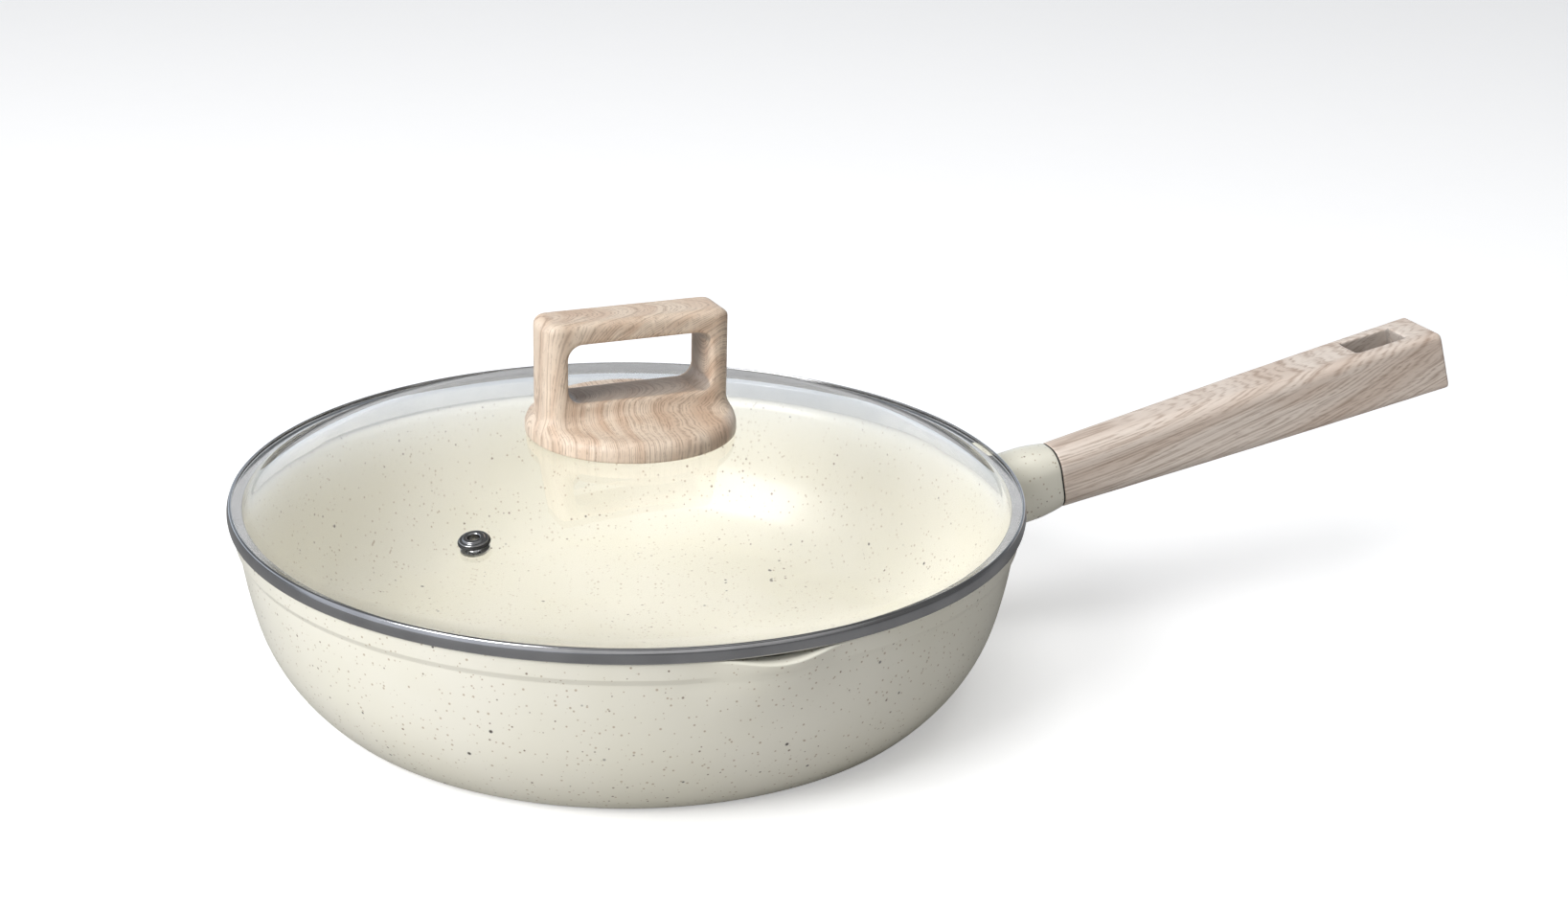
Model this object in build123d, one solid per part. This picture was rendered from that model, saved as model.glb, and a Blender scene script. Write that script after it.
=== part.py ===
from build123d import *
import os
from math import asin, cos, degrees, pi, radians, sin, sqrt

# Deep frying pan, 28 cm, with a domed glass lid. Millimetres.
# Origin: centre of the underside. +Z up, the handle points along +X, the pouring spout along -Y.

# ---- pan: cast aluminium, coated ----
lip_height = 67.0          # top of the lip above the table
lip_radius = 143.6         # outside of the collar at the lip
lip_width = 3.3            # flat top of the lip, down to the mouth
collar_height = 6.4        # height of the collar band under the lip
collar_draft = 1.0         # the collar narrows by this much on its way down
collar_step = 1.4          # step in from the collar to the wall
wall_thickness = 3.0
floor_thickness = 4.5
wall_lean = 6.6            # degrees from vertical just under the collar
flare_lean = 14.4          # degrees where the flare meets the belly
belly_lean = 48.0          # degrees where the belly meets the heel
inner_belly_lean = 36.0    # the same inside, where the heel is rounder and the metal thicker
flare_radius = 183.6
heel_radius = 15.9
inner_heel_radius = 22.8
skirt_gap = 0.7            # free play between the lid's skirt and the mouth
ledge_depth = 8.5          # how far the recess for the skirt goes down from the lip

# ---- pouring spout ----
spout_azimuth = -88.5      # degrees from +X
spout_reach = 5.0          # how far the lip swells outwards
spout_half_angle = 12.5    # degrees
spout_fall = 30.0          # height over which the swelling dies away
spout_dip = 2.2            # how far the lip sinks in the middle of the spout
spout_mouth = 40.0         # width of the dip at the lip
spout_sink = 0.5           # how far the swelling's edges are let into the wall
spout_steps = 4            # levels of the swelling, and points on each side of its middle

# ---- induction plate: perforated steel, pressed flush into the underside ----
plate_margin = 17.0        # from the plate's edge to where the heel leaves the table
plate_thickness = 1.2
plate_hole = 4.5           # diameter of one perforation
plate_ring_pitch = 16.0    # distance between the rings of perforations
plate_edge = 7.0           # least distance from a hole's middle to the plate's edge

# ---- stub, cast in one with the pan ----
handle_tilt = 11.5         # degrees above horizontal
stub_length = 32.8         # from the wall to the centre of the joint, level with the table
joint_rise = 1.8           # from the lip up to the top of the joint
joint_width = 19.6
joint_tall = 25.4
joint_corner = 8.0
stub_swell = 3.2           # the stub's body is this much wider and taller than the joint
stub_neck = 13.0           # length over which it swells, back from the joint
stub_root = 6.0            # extra width and height where it runs into the wall
tenon_width = 9.0
tenon_tall = 13.0
tenon_length = 14.0
tenon_gap = 0.2

# ---- grip: moulded, wood look ----
grip_length = 174.0
tip_width = 26.8
tip_tall = 24.9
tip_corner = 2.4
tip_lean = 6.0             # degrees by which the end face leans outwards at the bottom
grip_swell = 0.8           # the middle of the grip is this much taller than its ends
grip_stations = (0, 0.35, 0.72, 1)  # sections of the grip, as shares of its length
slot_length = 23.3
slot_width = 12.9
slot_corner = 1.5
slot_margin = 13.6         # from the end face to the slot
ring_thickness = 0.6       # heat-proof ring between stub and grip
ring_inset = 0.3

# ---- M5 screws and washers ----
screw_diameter = 5.0
thread_gap = 0.05          # radial, between a screw and its thread
hole_gap = 0.25            # radial, between a screw and a clearance hole
head_diameter = 8.6
head_height = 3.2
cross_width = 1.1
cross_length = 5.2
cross_depth = 1.8
washer_diameter = 10.0
washer_thickness = 1.0
split_thickness = 1.3      # split spring washer
split_gap = 0.9
split_slant = 20.0         # degrees
handle_bolt_length = 60.0
handle_bolt_seat = 48.0    # from the joint to the shoulder the washers press on
handle_well = 11.0         # diameter of the well that the bolt goes down
tap_depth = 28.0           # threaded depth in the stub, from the end of the tenon

# ---- lid: glass and steel band ----
band_overhang = 1.4        # how far the band stands out past the lip
strip = 0.6                # thickness of the band's steel
fold_lap = 1.75            # width of the fold seen from above
skirt_height = 6.0         # below the lip
glass_thickness = 4.0
glass_gap = 0.1
glass_edge_flat = 2.6      # flat margin inside the fold
glass_hole_gap = 1.0       # radial, round the knob's screw
dome_lean = 14.0           # degrees at the edge of the main dome
shoulder_lean = 30.4       # degrees at the foot of the shoulder
shoulder_radius = 80.0
foot_radius = 8.0

# ---- steam vent ----
vent_inset = 44.2          # from the edge of the band to the middle of the vent
vent_azimuth = -139.0
eyelet_diameter = 10.0
eyelet_bore = 4.2
eyelet_wall = 0.6
eyelet_step = 7.4          # diameter of the raised step on its flange
eyelet_flare = 1.6         # spread of its lower end
vent_ring_diameter = 11.0
vent_ring_thickness = 1.0
vent_washer_thickness = 0.8

# ---- knob ----
knob_radius = 38.3
knob_clearance = 0.4       # from the knob's rim to the glass
flange_height = 7.2
flange_round = 4.6
crown_rise = 4.0           # how much the top of the flange domes up to the bridge
bridge_inset = 3.3         # from the knob's edge to the end of the bridge
bridge_width = 21.0
bridge_height = 44.5       # from the knob's rim to the top
bridge_leg = 8.0           # thickness of each leg
bridge_bar = 8.0           # thickness of the bar over the window
bridge_corner = 6.0
bridge_round = 2.6
window_corner = 5.5
window_sill = 14.7         # from the knob's rim
knob_turn = 2.5            # degrees from the handle's direction, as the lid happens to lie
knob_wall = 3.6
boss_diameter = 15.0
insert_diameter = 8.0
insert_length = 10.0
insert_groove = 0.6
knob_screw_length = 16.0
upper_ring_diameter = 24.0
upper_ring_thickness = 1.2
lower_ring_diameter = 24.0
lower_ring_thickness = 1.5
knob_washer_diameter = 18.0

# ---- derived sizes ----
wall_top = lip_height - collar_height - collar_step / 2
wall_radius = lip_radius - collar_draft - collar_step
mouth_radius = lip_radius - lip_width
skirt_radius = mouth_radius - skirt_gap
band_radius = lip_radius + band_overhang
joint_distance = wall_radius + stub_length
joint_height = lip_height + joint_rise - joint_tall / 2
screw_radius = screw_diameter / 2
thread_radius = screw_radius + thread_gap
flange_top = lip_height + strip
glass_bottom = flange_top + glass_gap
glass_top = glass_bottom + glass_thickness
band_top = glass_top + glass_gap + strip
glass_radius = band_radius - strip - glass_gap
margin_radius = band_radius - fold_lap - glass_edge_flat
vent_distance = band_radius - vent_inset
eyelet_tube = eyelet_bore / 2 + eyelet_wall
bridge_length = 2 * (knob_radius - bridge_inset)
window_length = bridge_length - 2 * bridge_leg
window_height = bridge_height - window_sill - bridge_bar


def upright(radius, height, base=0.0):
    """Cylinder about Z that stands on a height."""
    low = (Align.CENTER, Align.CENTER, Align.MIN)
    return Pos(Z=base) * Cylinder(radius, height, align=low)


def ring_on(plane, start, outer, bore, thickness):
    """Flat ring on a plane, from a distance along its normal. Both sizes are diameters."""
    ring = Circle(outer / 2) - Circle(bore / 2)
    return extrude(plane.offset(start) * ring, thickness)


def turned(outline):
    """Solid of revolution about Z from a closed outline drawn in the XZ plane."""
    return revolve(Plane.XZ * make_face(outline), Axis.Z)


# ---- pan ----
def arc_step(start, radius, lean_from, lean_to):
    """End of an arc that turns between two leans from the vertical on its way down and in."""
    run = radius * (cos(radians(lean_from)) - cos(radians(lean_to)))
    drop = radius * (sin(radians(lean_to)) - sin(radians(lean_from)))
    return start[0] - run, start[1] - drop


def bowl_wall(radius, top, bottom, inset, heel_lean, heel):
    """Flare, belly and heel of a bowl's wall, and the point where the heel meets the floor.

    inset is the distance inside the outer surface, and heel the heel's radius. The belly
    takes the height that is left, so the wall always lands flat on the floor.
    """
    start = (radius, top)
    waist = arc_step(start, flare_radius - inset, wall_lean, flare_lean)
    hip_height = bottom + heel * (1 - sin(radians(heel_lean)))
    turn = sin(radians(heel_lean)) - sin(radians(flare_lean))
    hip = arc_step(waist, (waist[1] - hip_height) / turn, flare_lean, heel_lean)
    foot = (hip[0] - heel * cos(radians(heel_lean)), bottom)
    heading = (-sin(radians(wall_lean)), -cos(radians(wall_lean)))
    flare = TangentArc(start, waist, tangent=heading)
    belly = TangentArc(waist, hip, tangent=flare % 1)
    return flare + belly + TangentArc(hip, foot, tangent=belly % 1), foot


def bowl_outside():
    """Filled outer shape of the pan: bowl, step and collar."""
    wall, foot = bowl_wall(wall_radius, wall_top, 0, 0, belly_lean, heel_radius)
    collar_foot = lip_height - collar_height
    rim = Polyline(
        foot,
        (0, 0),
        (0, lip_height),
        (lip_radius, lip_height),
        (lip_radius - collar_draft, collar_foot),
        (wall_radius, wall_top),
    )
    return turned(wall + rim)


def bowl_inside():
    """The space inside the pan, with the recess that takes the lid's skirt."""
    ledge = lip_height - ledge_depth
    inner_radius = wall_radius - wall_thickness
    turn = (inner_belly_lean, inner_heel_radius)
    wall, foot = bowl_wall(inner_radius, ledge, floor_thickness, wall_thickness, *turn)
    above = lip_height + wall_thickness
    rim = Polyline(
        foot,
        (0, floor_thickness),
        (0, above),
        (mouth_radius, above),
        (mouth_radius, ledge + mouth_radius - inner_radius),
        (inner_radius, ledge),
    )
    return turned(wall + rim)


def wall_radius_at(height):
    """Outer radius of the pan at a height on the flare or across the collar."""
    if height >= wall_top:
        share = (height - wall_top) / (lip_height - wall_top)
        return wall_radius + (lip_radius - wall_radius) * share
    lean = radians(wall_lean)
    centre_height = wall_top + flare_radius * sin(lean)
    centre_radius = wall_radius - flare_radius * cos(lean)
    return centre_radius + sqrt(flare_radius**2 - (centre_height - height) ** 2)


def spout_section(height, share):
    """One level of the spout's swelling, which sinks into the wall on both sides."""
    base = wall_radius_at(height)
    bump = []
    for step in range(-spout_steps, spout_steps + 1):
        angle = radians(spout_azimuth + spout_half_angle * step / spout_steps)
        fade = cos(pi / 2 * step / spout_steps) ** 2
        distance = base + (spout_reach * share + spout_sink) * fade - spout_sink
        bump.append((distance * cos(angle), distance * sin(angle)))
    depth = (base - wall_thickness) / base
    back = [(x * depth, y * depth) for x, y in (bump[-1], bump[0])]
    outline = Spline(*bump) + Polyline(bump[-1], *back, bump[0])
    return Plane.XY.offset(height) * make_face(outline)


def spout():
    """Swelling of the lip that carries the pour clear of the wall."""
    overrun = spout_sink / spout_reach
    sections = []
    for step in range(spout_steps + 1):
        share = (1 + overrun) * cos(pi / 2 * step / spout_steps) ** 2 - overrun
        sections.append(spout_section(lip_height - spout_fall * step / spout_steps, share))
    return loft(sections)


def spout_channel():
    """Shallow trough across the lip: the side of a large cylinder that lies along the pour."""
    radius = (spout_mouth**2 / 4 + spout_dip**2) / (2 * spout_dip)
    trough = extrude(Plane.YZ * Circle(radius), 4 * spout_reach, both=True)
    middle = mouth_radius + 3 * spout_reach
    return Rot(Z=spout_azimuth) * Pos(X=middle, Z=lip_height - spout_dip + radius) * trough


def plate_radius():
    """Radius of the induction plate, which stays inside the flat of the underside."""
    _, foot = bowl_wall(wall_radius, wall_top, 0, 0, belly_lean, heel_radius)
    return foot[0] - plate_margin


# ---- handle ----
def on_handle(distance):
    """Plane across the handle, at a distance from the joint along its axis; its Y is up."""
    lean = radians(handle_tilt)
    origin = (joint_distance + distance * cos(lean), 0, joint_height + distance * sin(lean))
    return Plane(origin=origin, x_dir=(0, 1, 0), z_dir=(cos(lean), 0, sin(lean)))


def along_handle(distance):
    """Level of the handle's axis as a plane: its X runs outwards, its normal is up."""
    lean = radians(handle_tilt)
    origin = on_handle(distance).origin
    return Plane(origin=origin, x_dir=(cos(lean), 0, sin(lean)), z_dir=(-sin(lean), 0, cos(lean)))


def joint_outline(grow=0.0):
    """Rounded outline of the handle at the joint."""
    return RectangleRounded(joint_width + grow, joint_tall + grow, joint_corner + grow / 2)


def stub():
    """Arm between the pan's wall and the joint: it swells back from the joint."""
    root = joint_distance - wall_radius + wall_thickness
    sections = [
        on_handle(-root) * joint_outline(stub_swell + stub_root),
        on_handle(-(root + stub_neck) / 2) * joint_outline(stub_swell + stub_root / 8),
        on_handle(-stub_neck) * joint_outline(stub_swell),
        on_handle(-stub_neck / 2) * joint_outline(stub_swell * 0.7),
        on_handle(0) * joint_outline(),
    ]
    return loft(sections)


def tenon(gap=0.0):
    """Block on the end of the stub that keeps the grip from turning."""
    profile = on_handle(0) * Rectangle(tenon_width + 2 * gap, tenon_tall + 2 * gap)
    return extrude(profile, tenon_length + gap)


def rod(plane, radius, length):
    """Cylinder that starts at a plane and runs along its normal."""
    return extrude(plane * Circle(radius), length)


def make_pan_body():
    body = bowl_outside() + spout() + stub() + tenon()
    body -= bowl_inside()
    body -= spout_channel()
    body -= upright(plate_radius(), plate_thickness)
    tapped = on_handle(tenon_length - tap_depth)
    return body - rod(tapped, thread_radius, tap_depth)


def make_base_plate():
    """Steel disc with rings of perforations round a solid centre."""
    radius = plate_radius()
    disc = upright(radius, plate_thickness)
    hole = Cylinder(plate_hole / 2, 4 * plate_thickness)
    rings = int((radius - plate_edge) / plate_ring_pitch)
    for ring in range(1, rings + 1):
        count = 6 * ring
        for turn in range(count):
            disc -= Rot(Z=360 * turn / count) * Pos(X=ring * plate_ring_pitch) * hole
    return disc


def make_handle_gasket():
    ring = extrude(on_handle(0) * joint_outline(-2 * ring_inset), ring_thickness)
    return ring - tenon(tenon_gap)


def grip_section(share):
    """Section of the grip at a share of its length: soft at the joint, crisp at the tip."""
    width = joint_width + (tip_width - joint_width) * share
    tall = joint_tall + (tip_tall - joint_tall) * share + grip_swell * sin(pi * share)
    corner = tip_corner + (joint_corner - tip_corner) * (1 - share)
    place = on_handle(ring_thickness + grip_length * share) * Rot(X=-tip_lean * share**4)
    return place * RectangleRounded(width, tall, corner)


def make_handle_grip():
    """Moulded grip with a hanging slot; the bolt goes in through the slot and down a well."""
    grip = loft([grip_section(share) for share in grip_stations])
    slot_start = ring_thickness + grip_length - slot_margin - slot_length
    opening = RectangleRounded(slot_length, slot_width, slot_corner)
    slot = along_handle(slot_start + slot_length / 2) * opening
    grip -= extrude(slot, tip_tall, both=True)
    grip -= tenon(tenon_gap)
    grip -= rod(on_handle(tenon_length), screw_radius + hole_gap, handle_bolt_seat - tenon_length)
    well = slot_start - handle_bolt_seat + slot_corner
    return grip - rod(on_handle(handle_bolt_seat), handle_well / 2, well)


# ---- screws and washers ----
def split_washer(plane):
    """Spring washer: a ring with a slanted cut."""
    ring = ring_on(plane, 0, head_diameter, screw_diameter + 2 * hole_gap, split_thickness)
    cut = Box(split_gap, head_diameter, 6 * split_thickness)
    return ring - plane * Pos(Y=head_diameter / 2) * Rot(Y=split_slant) * cut


def pan_head_screw(seat, length):
    """Cross-head screw. seat is the plane under its head; the shank runs against the normal."""
    shank = rod(seat, screw_radius, -length)
    head = upright(head_diameter / 2, head_height)
    head = fillet(head.edges().group_by(Axis.Z)[-1], head_height * 0.4)
    cross = Rectangle(cross_length, cross_width) + Rectangle(cross_width, cross_length)
    head -= extrude(Plane.XY.offset(head_height) * cross, -cross_depth)
    return shank + seat * head


def make_handle_flat_washer():
    bore = screw_diameter + 2 * hole_gap
    return ring_on(on_handle(handle_bolt_seat), 0, washer_diameter, bore, washer_thickness)


def make_handle_spring_washer():
    return split_washer(on_handle(handle_bolt_seat + washer_thickness))


def make_handle_bolt():
    seat = on_handle(handle_bolt_seat + washer_thickness + split_thickness)
    return pan_head_screw(seat, handle_bolt_length)


# ---- lid ----
def glass_face(inset):
    """Section of one face of the glass: its corner points and the radius of its main dome.

    inset is the depth below the upper face. The main dome takes whatever radius carries
    the section from the axis to the flat margin.
    """
    dome = radians(dome_lean)
    shoulder = radians(shoulder_lean)
    low_run = foot_radius * sin(shoulder)
    high_run = shoulder_radius * (sin(shoulder) - sin(dome))
    dome_radius = (margin_radius - low_run - high_run) / sin(dome)
    low_rise = foot_radius * (1 - cos(shoulder))
    high_rise = shoulder_radius * (cos(dome) - cos(shoulder))
    top_rise = dome_radius * (1 - cos(dome))
    edge = (margin_radius, glass_top - inset)
    low = (
        margin_radius - low_run - inset * sin(shoulder),
        glass_top + low_rise - inset * cos(shoulder),
    )
    high = (
        margin_radius - low_run - high_run - inset * sin(dome),
        glass_top + low_rise + high_rise - inset * cos(dome),
    )
    top = (0, glass_top + low_rise + high_rise + top_rise - inset)
    return (edge, low, high, top), dome_radius - inset


def glass_curve(inset):
    """Foot, shoulder and dome arcs of one face of the glass, from the margin to the crown."""
    (edge, low, high, top), _ = glass_face(inset)
    foot = TangentArc(edge, low, tangent=(-1, 0))
    shoulder = TangentArc(low, high, tangent=foot % 1)
    dome = TangentArc(high, top, tangent=shoulder % 1)
    return foot + shoulder + dome


def glass_height(distance, inset=0.0):
    """Height of a face of the glass at a distance from the axis, on the main dome."""
    (_, _, _, top), dome_radius = glass_face(inset)
    return top[1] - dome_radius + sqrt(dome_radius**2 - distance**2)


def on_vent():
    """Plane on the glass at the steam vent, square to the dome."""
    _, dome_radius = glass_face(0)
    lean = degrees(asin(vent_distance / dome_radius))
    place = Pos(X=vent_distance, Z=glass_height(vent_distance)) * Rot(Y=lean)
    return Plane(Rot(Z=vent_azimuth) * place)


def make_lid_glass():
    (upper_edge, _, _, upper_top), _ = glass_face(0)
    (lower_edge, _, _, lower_top), _ = glass_face(glass_thickness)
    rim = Polyline(
        upper_edge,
        (glass_radius, glass_top),
        (glass_radius, glass_bottom),
        lower_edge,
    )
    axis = Line(upper_top, lower_top)
    glass = turned(glass_curve(0) + glass_curve(glass_thickness) + rim + axis)
    depth = 4 * glass_thickness
    glass -= Pos(Z=upper_top[1]) * Cylinder(screw_radius + glass_hole_gap, depth)
    return glass - on_vent() * Cylinder(eyelet_tube + hole_gap, depth)


def make_lid_rim():
    """Steel band rolled round the edge of the glass, with a skirt that drops into the pan."""
    fold_edge = band_radius - fold_lap
    skirt_foot = lip_height - skirt_height
    outer = FilletPolyline(
        (fold_edge, band_top),
        (band_radius, band_top),
        (band_radius, lip_height),
        (skirt_radius, lip_height),
        (skirt_radius, skirt_foot),
        radius=strip,
    )
    inner = Polyline(
        (skirt_radius, skirt_foot),
        (skirt_radius - strip, skirt_foot),
        (skirt_radius - strip, flange_top),
        (band_radius - strip, flange_top),
        (band_radius - strip, band_top - strip),
        (fold_edge, band_top - strip),
        (fold_edge, band_top),
    )
    return turned(outer + inner)


def make_vent_eyelet():
    """Hollow rivet: stepped flange on top, tube through the glass, flare underneath."""
    face = on_vent()
    low = -glass_thickness - thread_gap - vent_washer_thickness
    high = vent_ring_thickness
    eyelet = ring_on(face, low - eyelet_wall, 2 * eyelet_tube, eyelet_bore, high - low + eyelet_wall)
    eyelet += ring_on(face, low, 2 * eyelet_tube + eyelet_flare, eyelet_bore, -eyelet_wall)
    eyelet += ring_on(face, high, eyelet_diameter, eyelet_bore, eyelet_wall)
    return eyelet + ring_on(face, high, eyelet_step, eyelet_bore, 2 * eyelet_wall)


def make_vent_gasket():
    bore = 2 * eyelet_tube + 2 * thread_gap
    return ring_on(on_vent(), 0, vent_ring_diameter, bore, vent_ring_thickness)


def make_vent_washer():
    bore = 2 * eyelet_tube + 2 * thread_gap
    start = -glass_thickness - thread_gap
    return ring_on(on_vent(), start, eyelet_diameter, bore, -vent_washer_thickness)


# ---- knob and its fastening, stacked about the axis ----
crown_height = glass_height(0)
boss_foot = crown_height + upper_ring_thickness
knob_rim = glass_height(knob_radius) + knob_clearance
lower_ring_top = glass_height(lower_ring_diameter / 2, glass_thickness)
knob_washer_top = lower_ring_top - lower_ring_thickness
knob_split_top = knob_washer_top - washer_thickness


def knob_flange():
    """Round flange that swells up into the foot of the bridge."""
    shoulder = knob_rim + flange_height
    crown = (0, shoulder + crown_rise)
    side = Line((knob_radius, knob_rim), (knob_radius, shoulder - flange_round))
    turn_end = (knob_radius - flange_round, shoulder)
    turn = TangentArc(side @ 1, turn_end, tangent=side % 1)
    rise = Spline(turn_end, crown, tangents=(turn % 1, (-1, 0)))
    return turned(side + turn + rise + Polyline(crown, (0, knob_rim), (knob_radius, knob_rim)))


def knob_hollow():
    """Space under the flange, round a central boss."""
    floor = glass_height(knob_radius) - knob_clearance
    ceiling = knob_rim + flange_height - knob_wall
    space = upright(knob_radius - knob_wall, ceiling - floor, floor)
    return space - upright(boss_diameter / 2, ceiling - boss_foot, boss_foot)


def make_knob():
    """One moulding: round flange and a bridge with a finger window."""
    foot = knob_rim + knob_wall
    block = RectangleRounded(bridge_length, bridge_width, bridge_corner)
    bridge = extrude(Plane.XY.offset(foot) * block, bridge_height - knob_wall)
    bridge = fillet(bridge.edges().group_by(Axis.Z)[-1], bridge_round)
    middle = knob_rim + window_sill + window_height / 2
    window = Pos(Y=middle) * RectangleRounded(window_length, window_height, window_corner)
    bridge -= extrude(Plane.XZ * window, bridge_width, both=True)
    knob = knob_flange() + Rot(Z=knob_turn) * bridge - knob_hollow()
    return knob - upright(insert_diameter / 2, insert_length, boss_foot)


def make_knob_insert():
    """Brass thread insert with a grip groove, moulded into the boss."""
    insert = upright(insert_diameter / 2, insert_length, boss_foot)
    groove = ring_on(
        Plane.XY.offset(boss_foot + insert_length / 2),
        0,
        2 * insert_diameter,
        insert_diameter - 2 * insert_groove,
        insert_groove * 2,
    )
    return insert - groove - upright(thread_radius, insert_length, boss_foot)


def level_ring(top, diameter, thickness):
    """Flat ring about the pan's axis, hanging from a height, with a hole for the screw."""
    bore = screw_diameter + 2 * hole_gap
    return ring_on(Plane.XY.offset(top), 0, diameter, bore, -thickness)


def make_knob_upper_gasket():
    return level_ring(boss_foot, upper_ring_diameter, upper_ring_thickness)


def make_knob_lower_gasket():
    return level_ring(lower_ring_top, lower_ring_diameter, lower_ring_thickness)


def make_knob_flat_washer():
    return level_ring(knob_washer_top, knob_washer_diameter, washer_thickness)


def make_knob_spring_washer():
    return split_washer(Plane.XY.offset(knob_split_top - split_thickness))


def make_knob_screw():
    """Screw that comes up from under the glass."""
    seat = Plane(origin=(0, 0, knob_split_top - split_thickness), z_dir=(0, 0, -1))
    return pan_head_screw(seat, knob_screw_length)


nodes = {
    "pan_body": make_pan_body,
    "base_plate": make_base_plate,
    "handle_gasket": make_handle_gasket,
    "handle_grip": make_handle_grip,
    "handle_bolt": make_handle_bolt,
    "handle_flat_washer": make_handle_flat_washer,
    "handle_spring_washer": make_handle_spring_washer,
    "lid_glass": make_lid_glass,
    "lid_rim": make_lid_rim,
    "vent_eyelet": make_vent_eyelet,
    "vent_gasket": make_vent_gasket,
    "vent_washer": make_vent_washer,
    "knob": make_knob,
    "knob_insert": make_knob_insert,
    "knob_screw": make_knob_screw,
    "knob_flat_washer": make_knob_flat_washer,
    "knob_spring_washer": make_knob_spring_washer,
    "knob_upper_gasket": make_knob_upper_gasket,
    "knob_lower_gasket": make_knob_lower_gasket,
}

os.makedirs("parts", exist_ok=True)
for name, make in nodes.items():
    export_step(make(), f"parts/{name}.step")
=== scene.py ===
# %% [markdown]
# # A deep frying pan with a domed glass lid
#
# This file dresses a CAD model for the camera. The CAD model already has every part at its
# real size and place, so nothing here moves or resizes it. Some parts only get a finish.
# Others, whose soft corners and blends a CAD kernel draws stiffly, get a new mesh that
# takes their place. All lengths are metres, +Z is up, and the handle points along +X.

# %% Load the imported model
from math import asin, ceil, cos, degrees, pi, radians, sin, sqrt, tan

import bmesh
import bpy
import numpy as np
from mathutils import Matrix, Vector


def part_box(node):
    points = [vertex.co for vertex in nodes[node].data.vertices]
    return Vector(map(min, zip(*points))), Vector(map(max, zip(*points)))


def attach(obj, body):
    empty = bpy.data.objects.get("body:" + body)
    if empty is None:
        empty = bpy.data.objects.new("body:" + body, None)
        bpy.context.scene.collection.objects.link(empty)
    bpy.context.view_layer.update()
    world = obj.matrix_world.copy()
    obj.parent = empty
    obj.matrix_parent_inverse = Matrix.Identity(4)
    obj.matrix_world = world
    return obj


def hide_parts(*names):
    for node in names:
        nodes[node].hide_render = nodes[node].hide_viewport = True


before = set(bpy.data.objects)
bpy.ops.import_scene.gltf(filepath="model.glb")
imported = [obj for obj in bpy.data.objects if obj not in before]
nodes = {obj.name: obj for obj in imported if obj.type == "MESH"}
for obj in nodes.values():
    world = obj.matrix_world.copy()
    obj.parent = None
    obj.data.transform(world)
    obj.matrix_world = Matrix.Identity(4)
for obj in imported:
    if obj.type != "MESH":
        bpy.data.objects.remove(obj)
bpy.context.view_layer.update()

mm = 0.001

# %% [markdown]
# ## Camera
#
# The pan is seen from the front left, from a little above, with the handle running away to
# the right. The camera is placed the way a studio notes it down: a point to aim at, a
# distance, a heading, an elevation and a slight roll.

# %% Camera
camera_aim = Vector((53.4, -17.2, 83.6)) * mm
camera_distance = 912.9 * mm
camera_heading = radians(22.0)
camera_elevation = radians(20.22)
camera_roll = radians(-1.53)
sensor_width = 36.0
focal_length = 57.18

forward = Vector(
    (
        sin(camera_heading) * cos(camera_elevation),
        cos(camera_heading) * cos(camera_elevation),
        -sin(camera_elevation),
    )
)
level_right = Vector((cos(camera_heading), -sin(camera_heading), 0.0))
level_up = level_right.cross(forward)
right = level_right * cos(camera_roll) - level_up * sin(camera_roll)
up = level_right * sin(camera_roll) + level_up * cos(camera_roll)
lens = bpy.data.cameras.new("camera")
lens.sensor_width = sensor_width
lens.lens = focal_length
camera = bpy.data.objects.new("camera", lens)
bpy.context.scene.collection.objects.link(camera)
turn = Matrix((right, up, -forward)).transposed().to_4x4()
camera.matrix_world = Matrix.Translation(camera_aim - forward * camera_distance) @ turn
bpy.context.scene.camera = camera
print("camera at", [round(c, 3) for c in camera.matrix_world.translation])

# %% [markdown]
# ## Studio
#
# A packshot studio is a pale sweep with large soft boxes. The main box stands to the left
# and lights the left wall of the pan and the front of the knob. The one overhead fills the
# bowl. The right side is left darker, so that the round wall reads as round. The view is
# shown with the Standard transform, because the softer film-like one would grey the white
# background.
#
# Round the sweep is a dim room with a soft glow on each side, which gives the coating and
# the steel shapes to mirror. A ray that comes straight from the camera, or from it through
# the glass, sees plain white there instead.

# %% Helpers for shader nodes
def add_node(tree, kind, **settings):
    """A node of this kind, with its own settings."""
    node = tree.nodes.new(kind)
    for name, value in settings.items():
        setattr(node, name, value)
    return node


def feed(tree, socket, source):
    """Gives an input its value: a link where source is a socket, else a plain value."""
    if isinstance(source, bpy.types.NodeSocket):
        tree.links.new(source, socket)
    else:
        socket.default_value = source


def math(tree, operation, *values, clamp=False):
    """A Math node with its inputs fed, and its result."""
    node = add_node(tree, "ShaderNodeMath", operation=operation, use_clamp=clamp)
    for socket, value in zip(node.inputs, values):
        feed(tree, socket, value)
    return node.outputs[0]


def spread(tree, value, low, high, to_low=0.0, to_high=1.0):
    """Maps a range to another with soft ends."""
    node = add_node(tree, "ShaderNodeMapRange", interpolation_type="SMOOTHSTEP")
    ends = {"From Min": low, "From Max": high, "To Min": to_low, "To Max": to_high}
    feed(tree, node.inputs["Value"], value)
    for name, number in ends.items():
        feed(tree, node.inputs[name], number)
    return node.outputs["Result"]


def mixed(tree, share, first, second):
    """Two colours mixed by a share, on the sockets that a Mix node keeps for colours."""
    node = add_node(tree, "ShaderNodeMix", data_type="RGBA")
    feed(tree, node.inputs["Factor"], share)
    feed(tree, node.inputs[6], first)
    feed(tree, node.inputs[7], second)
    return node.outputs[2]


def mixed_shader(tree, share, first, second):
    """Two shaders mixed by a share."""
    node = add_node(tree, "ShaderNodeMixShader")
    for socket, source in zip(node.inputs, (share, first, second)):
        feed(tree, socket, source)
    return node.outputs[0]


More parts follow.
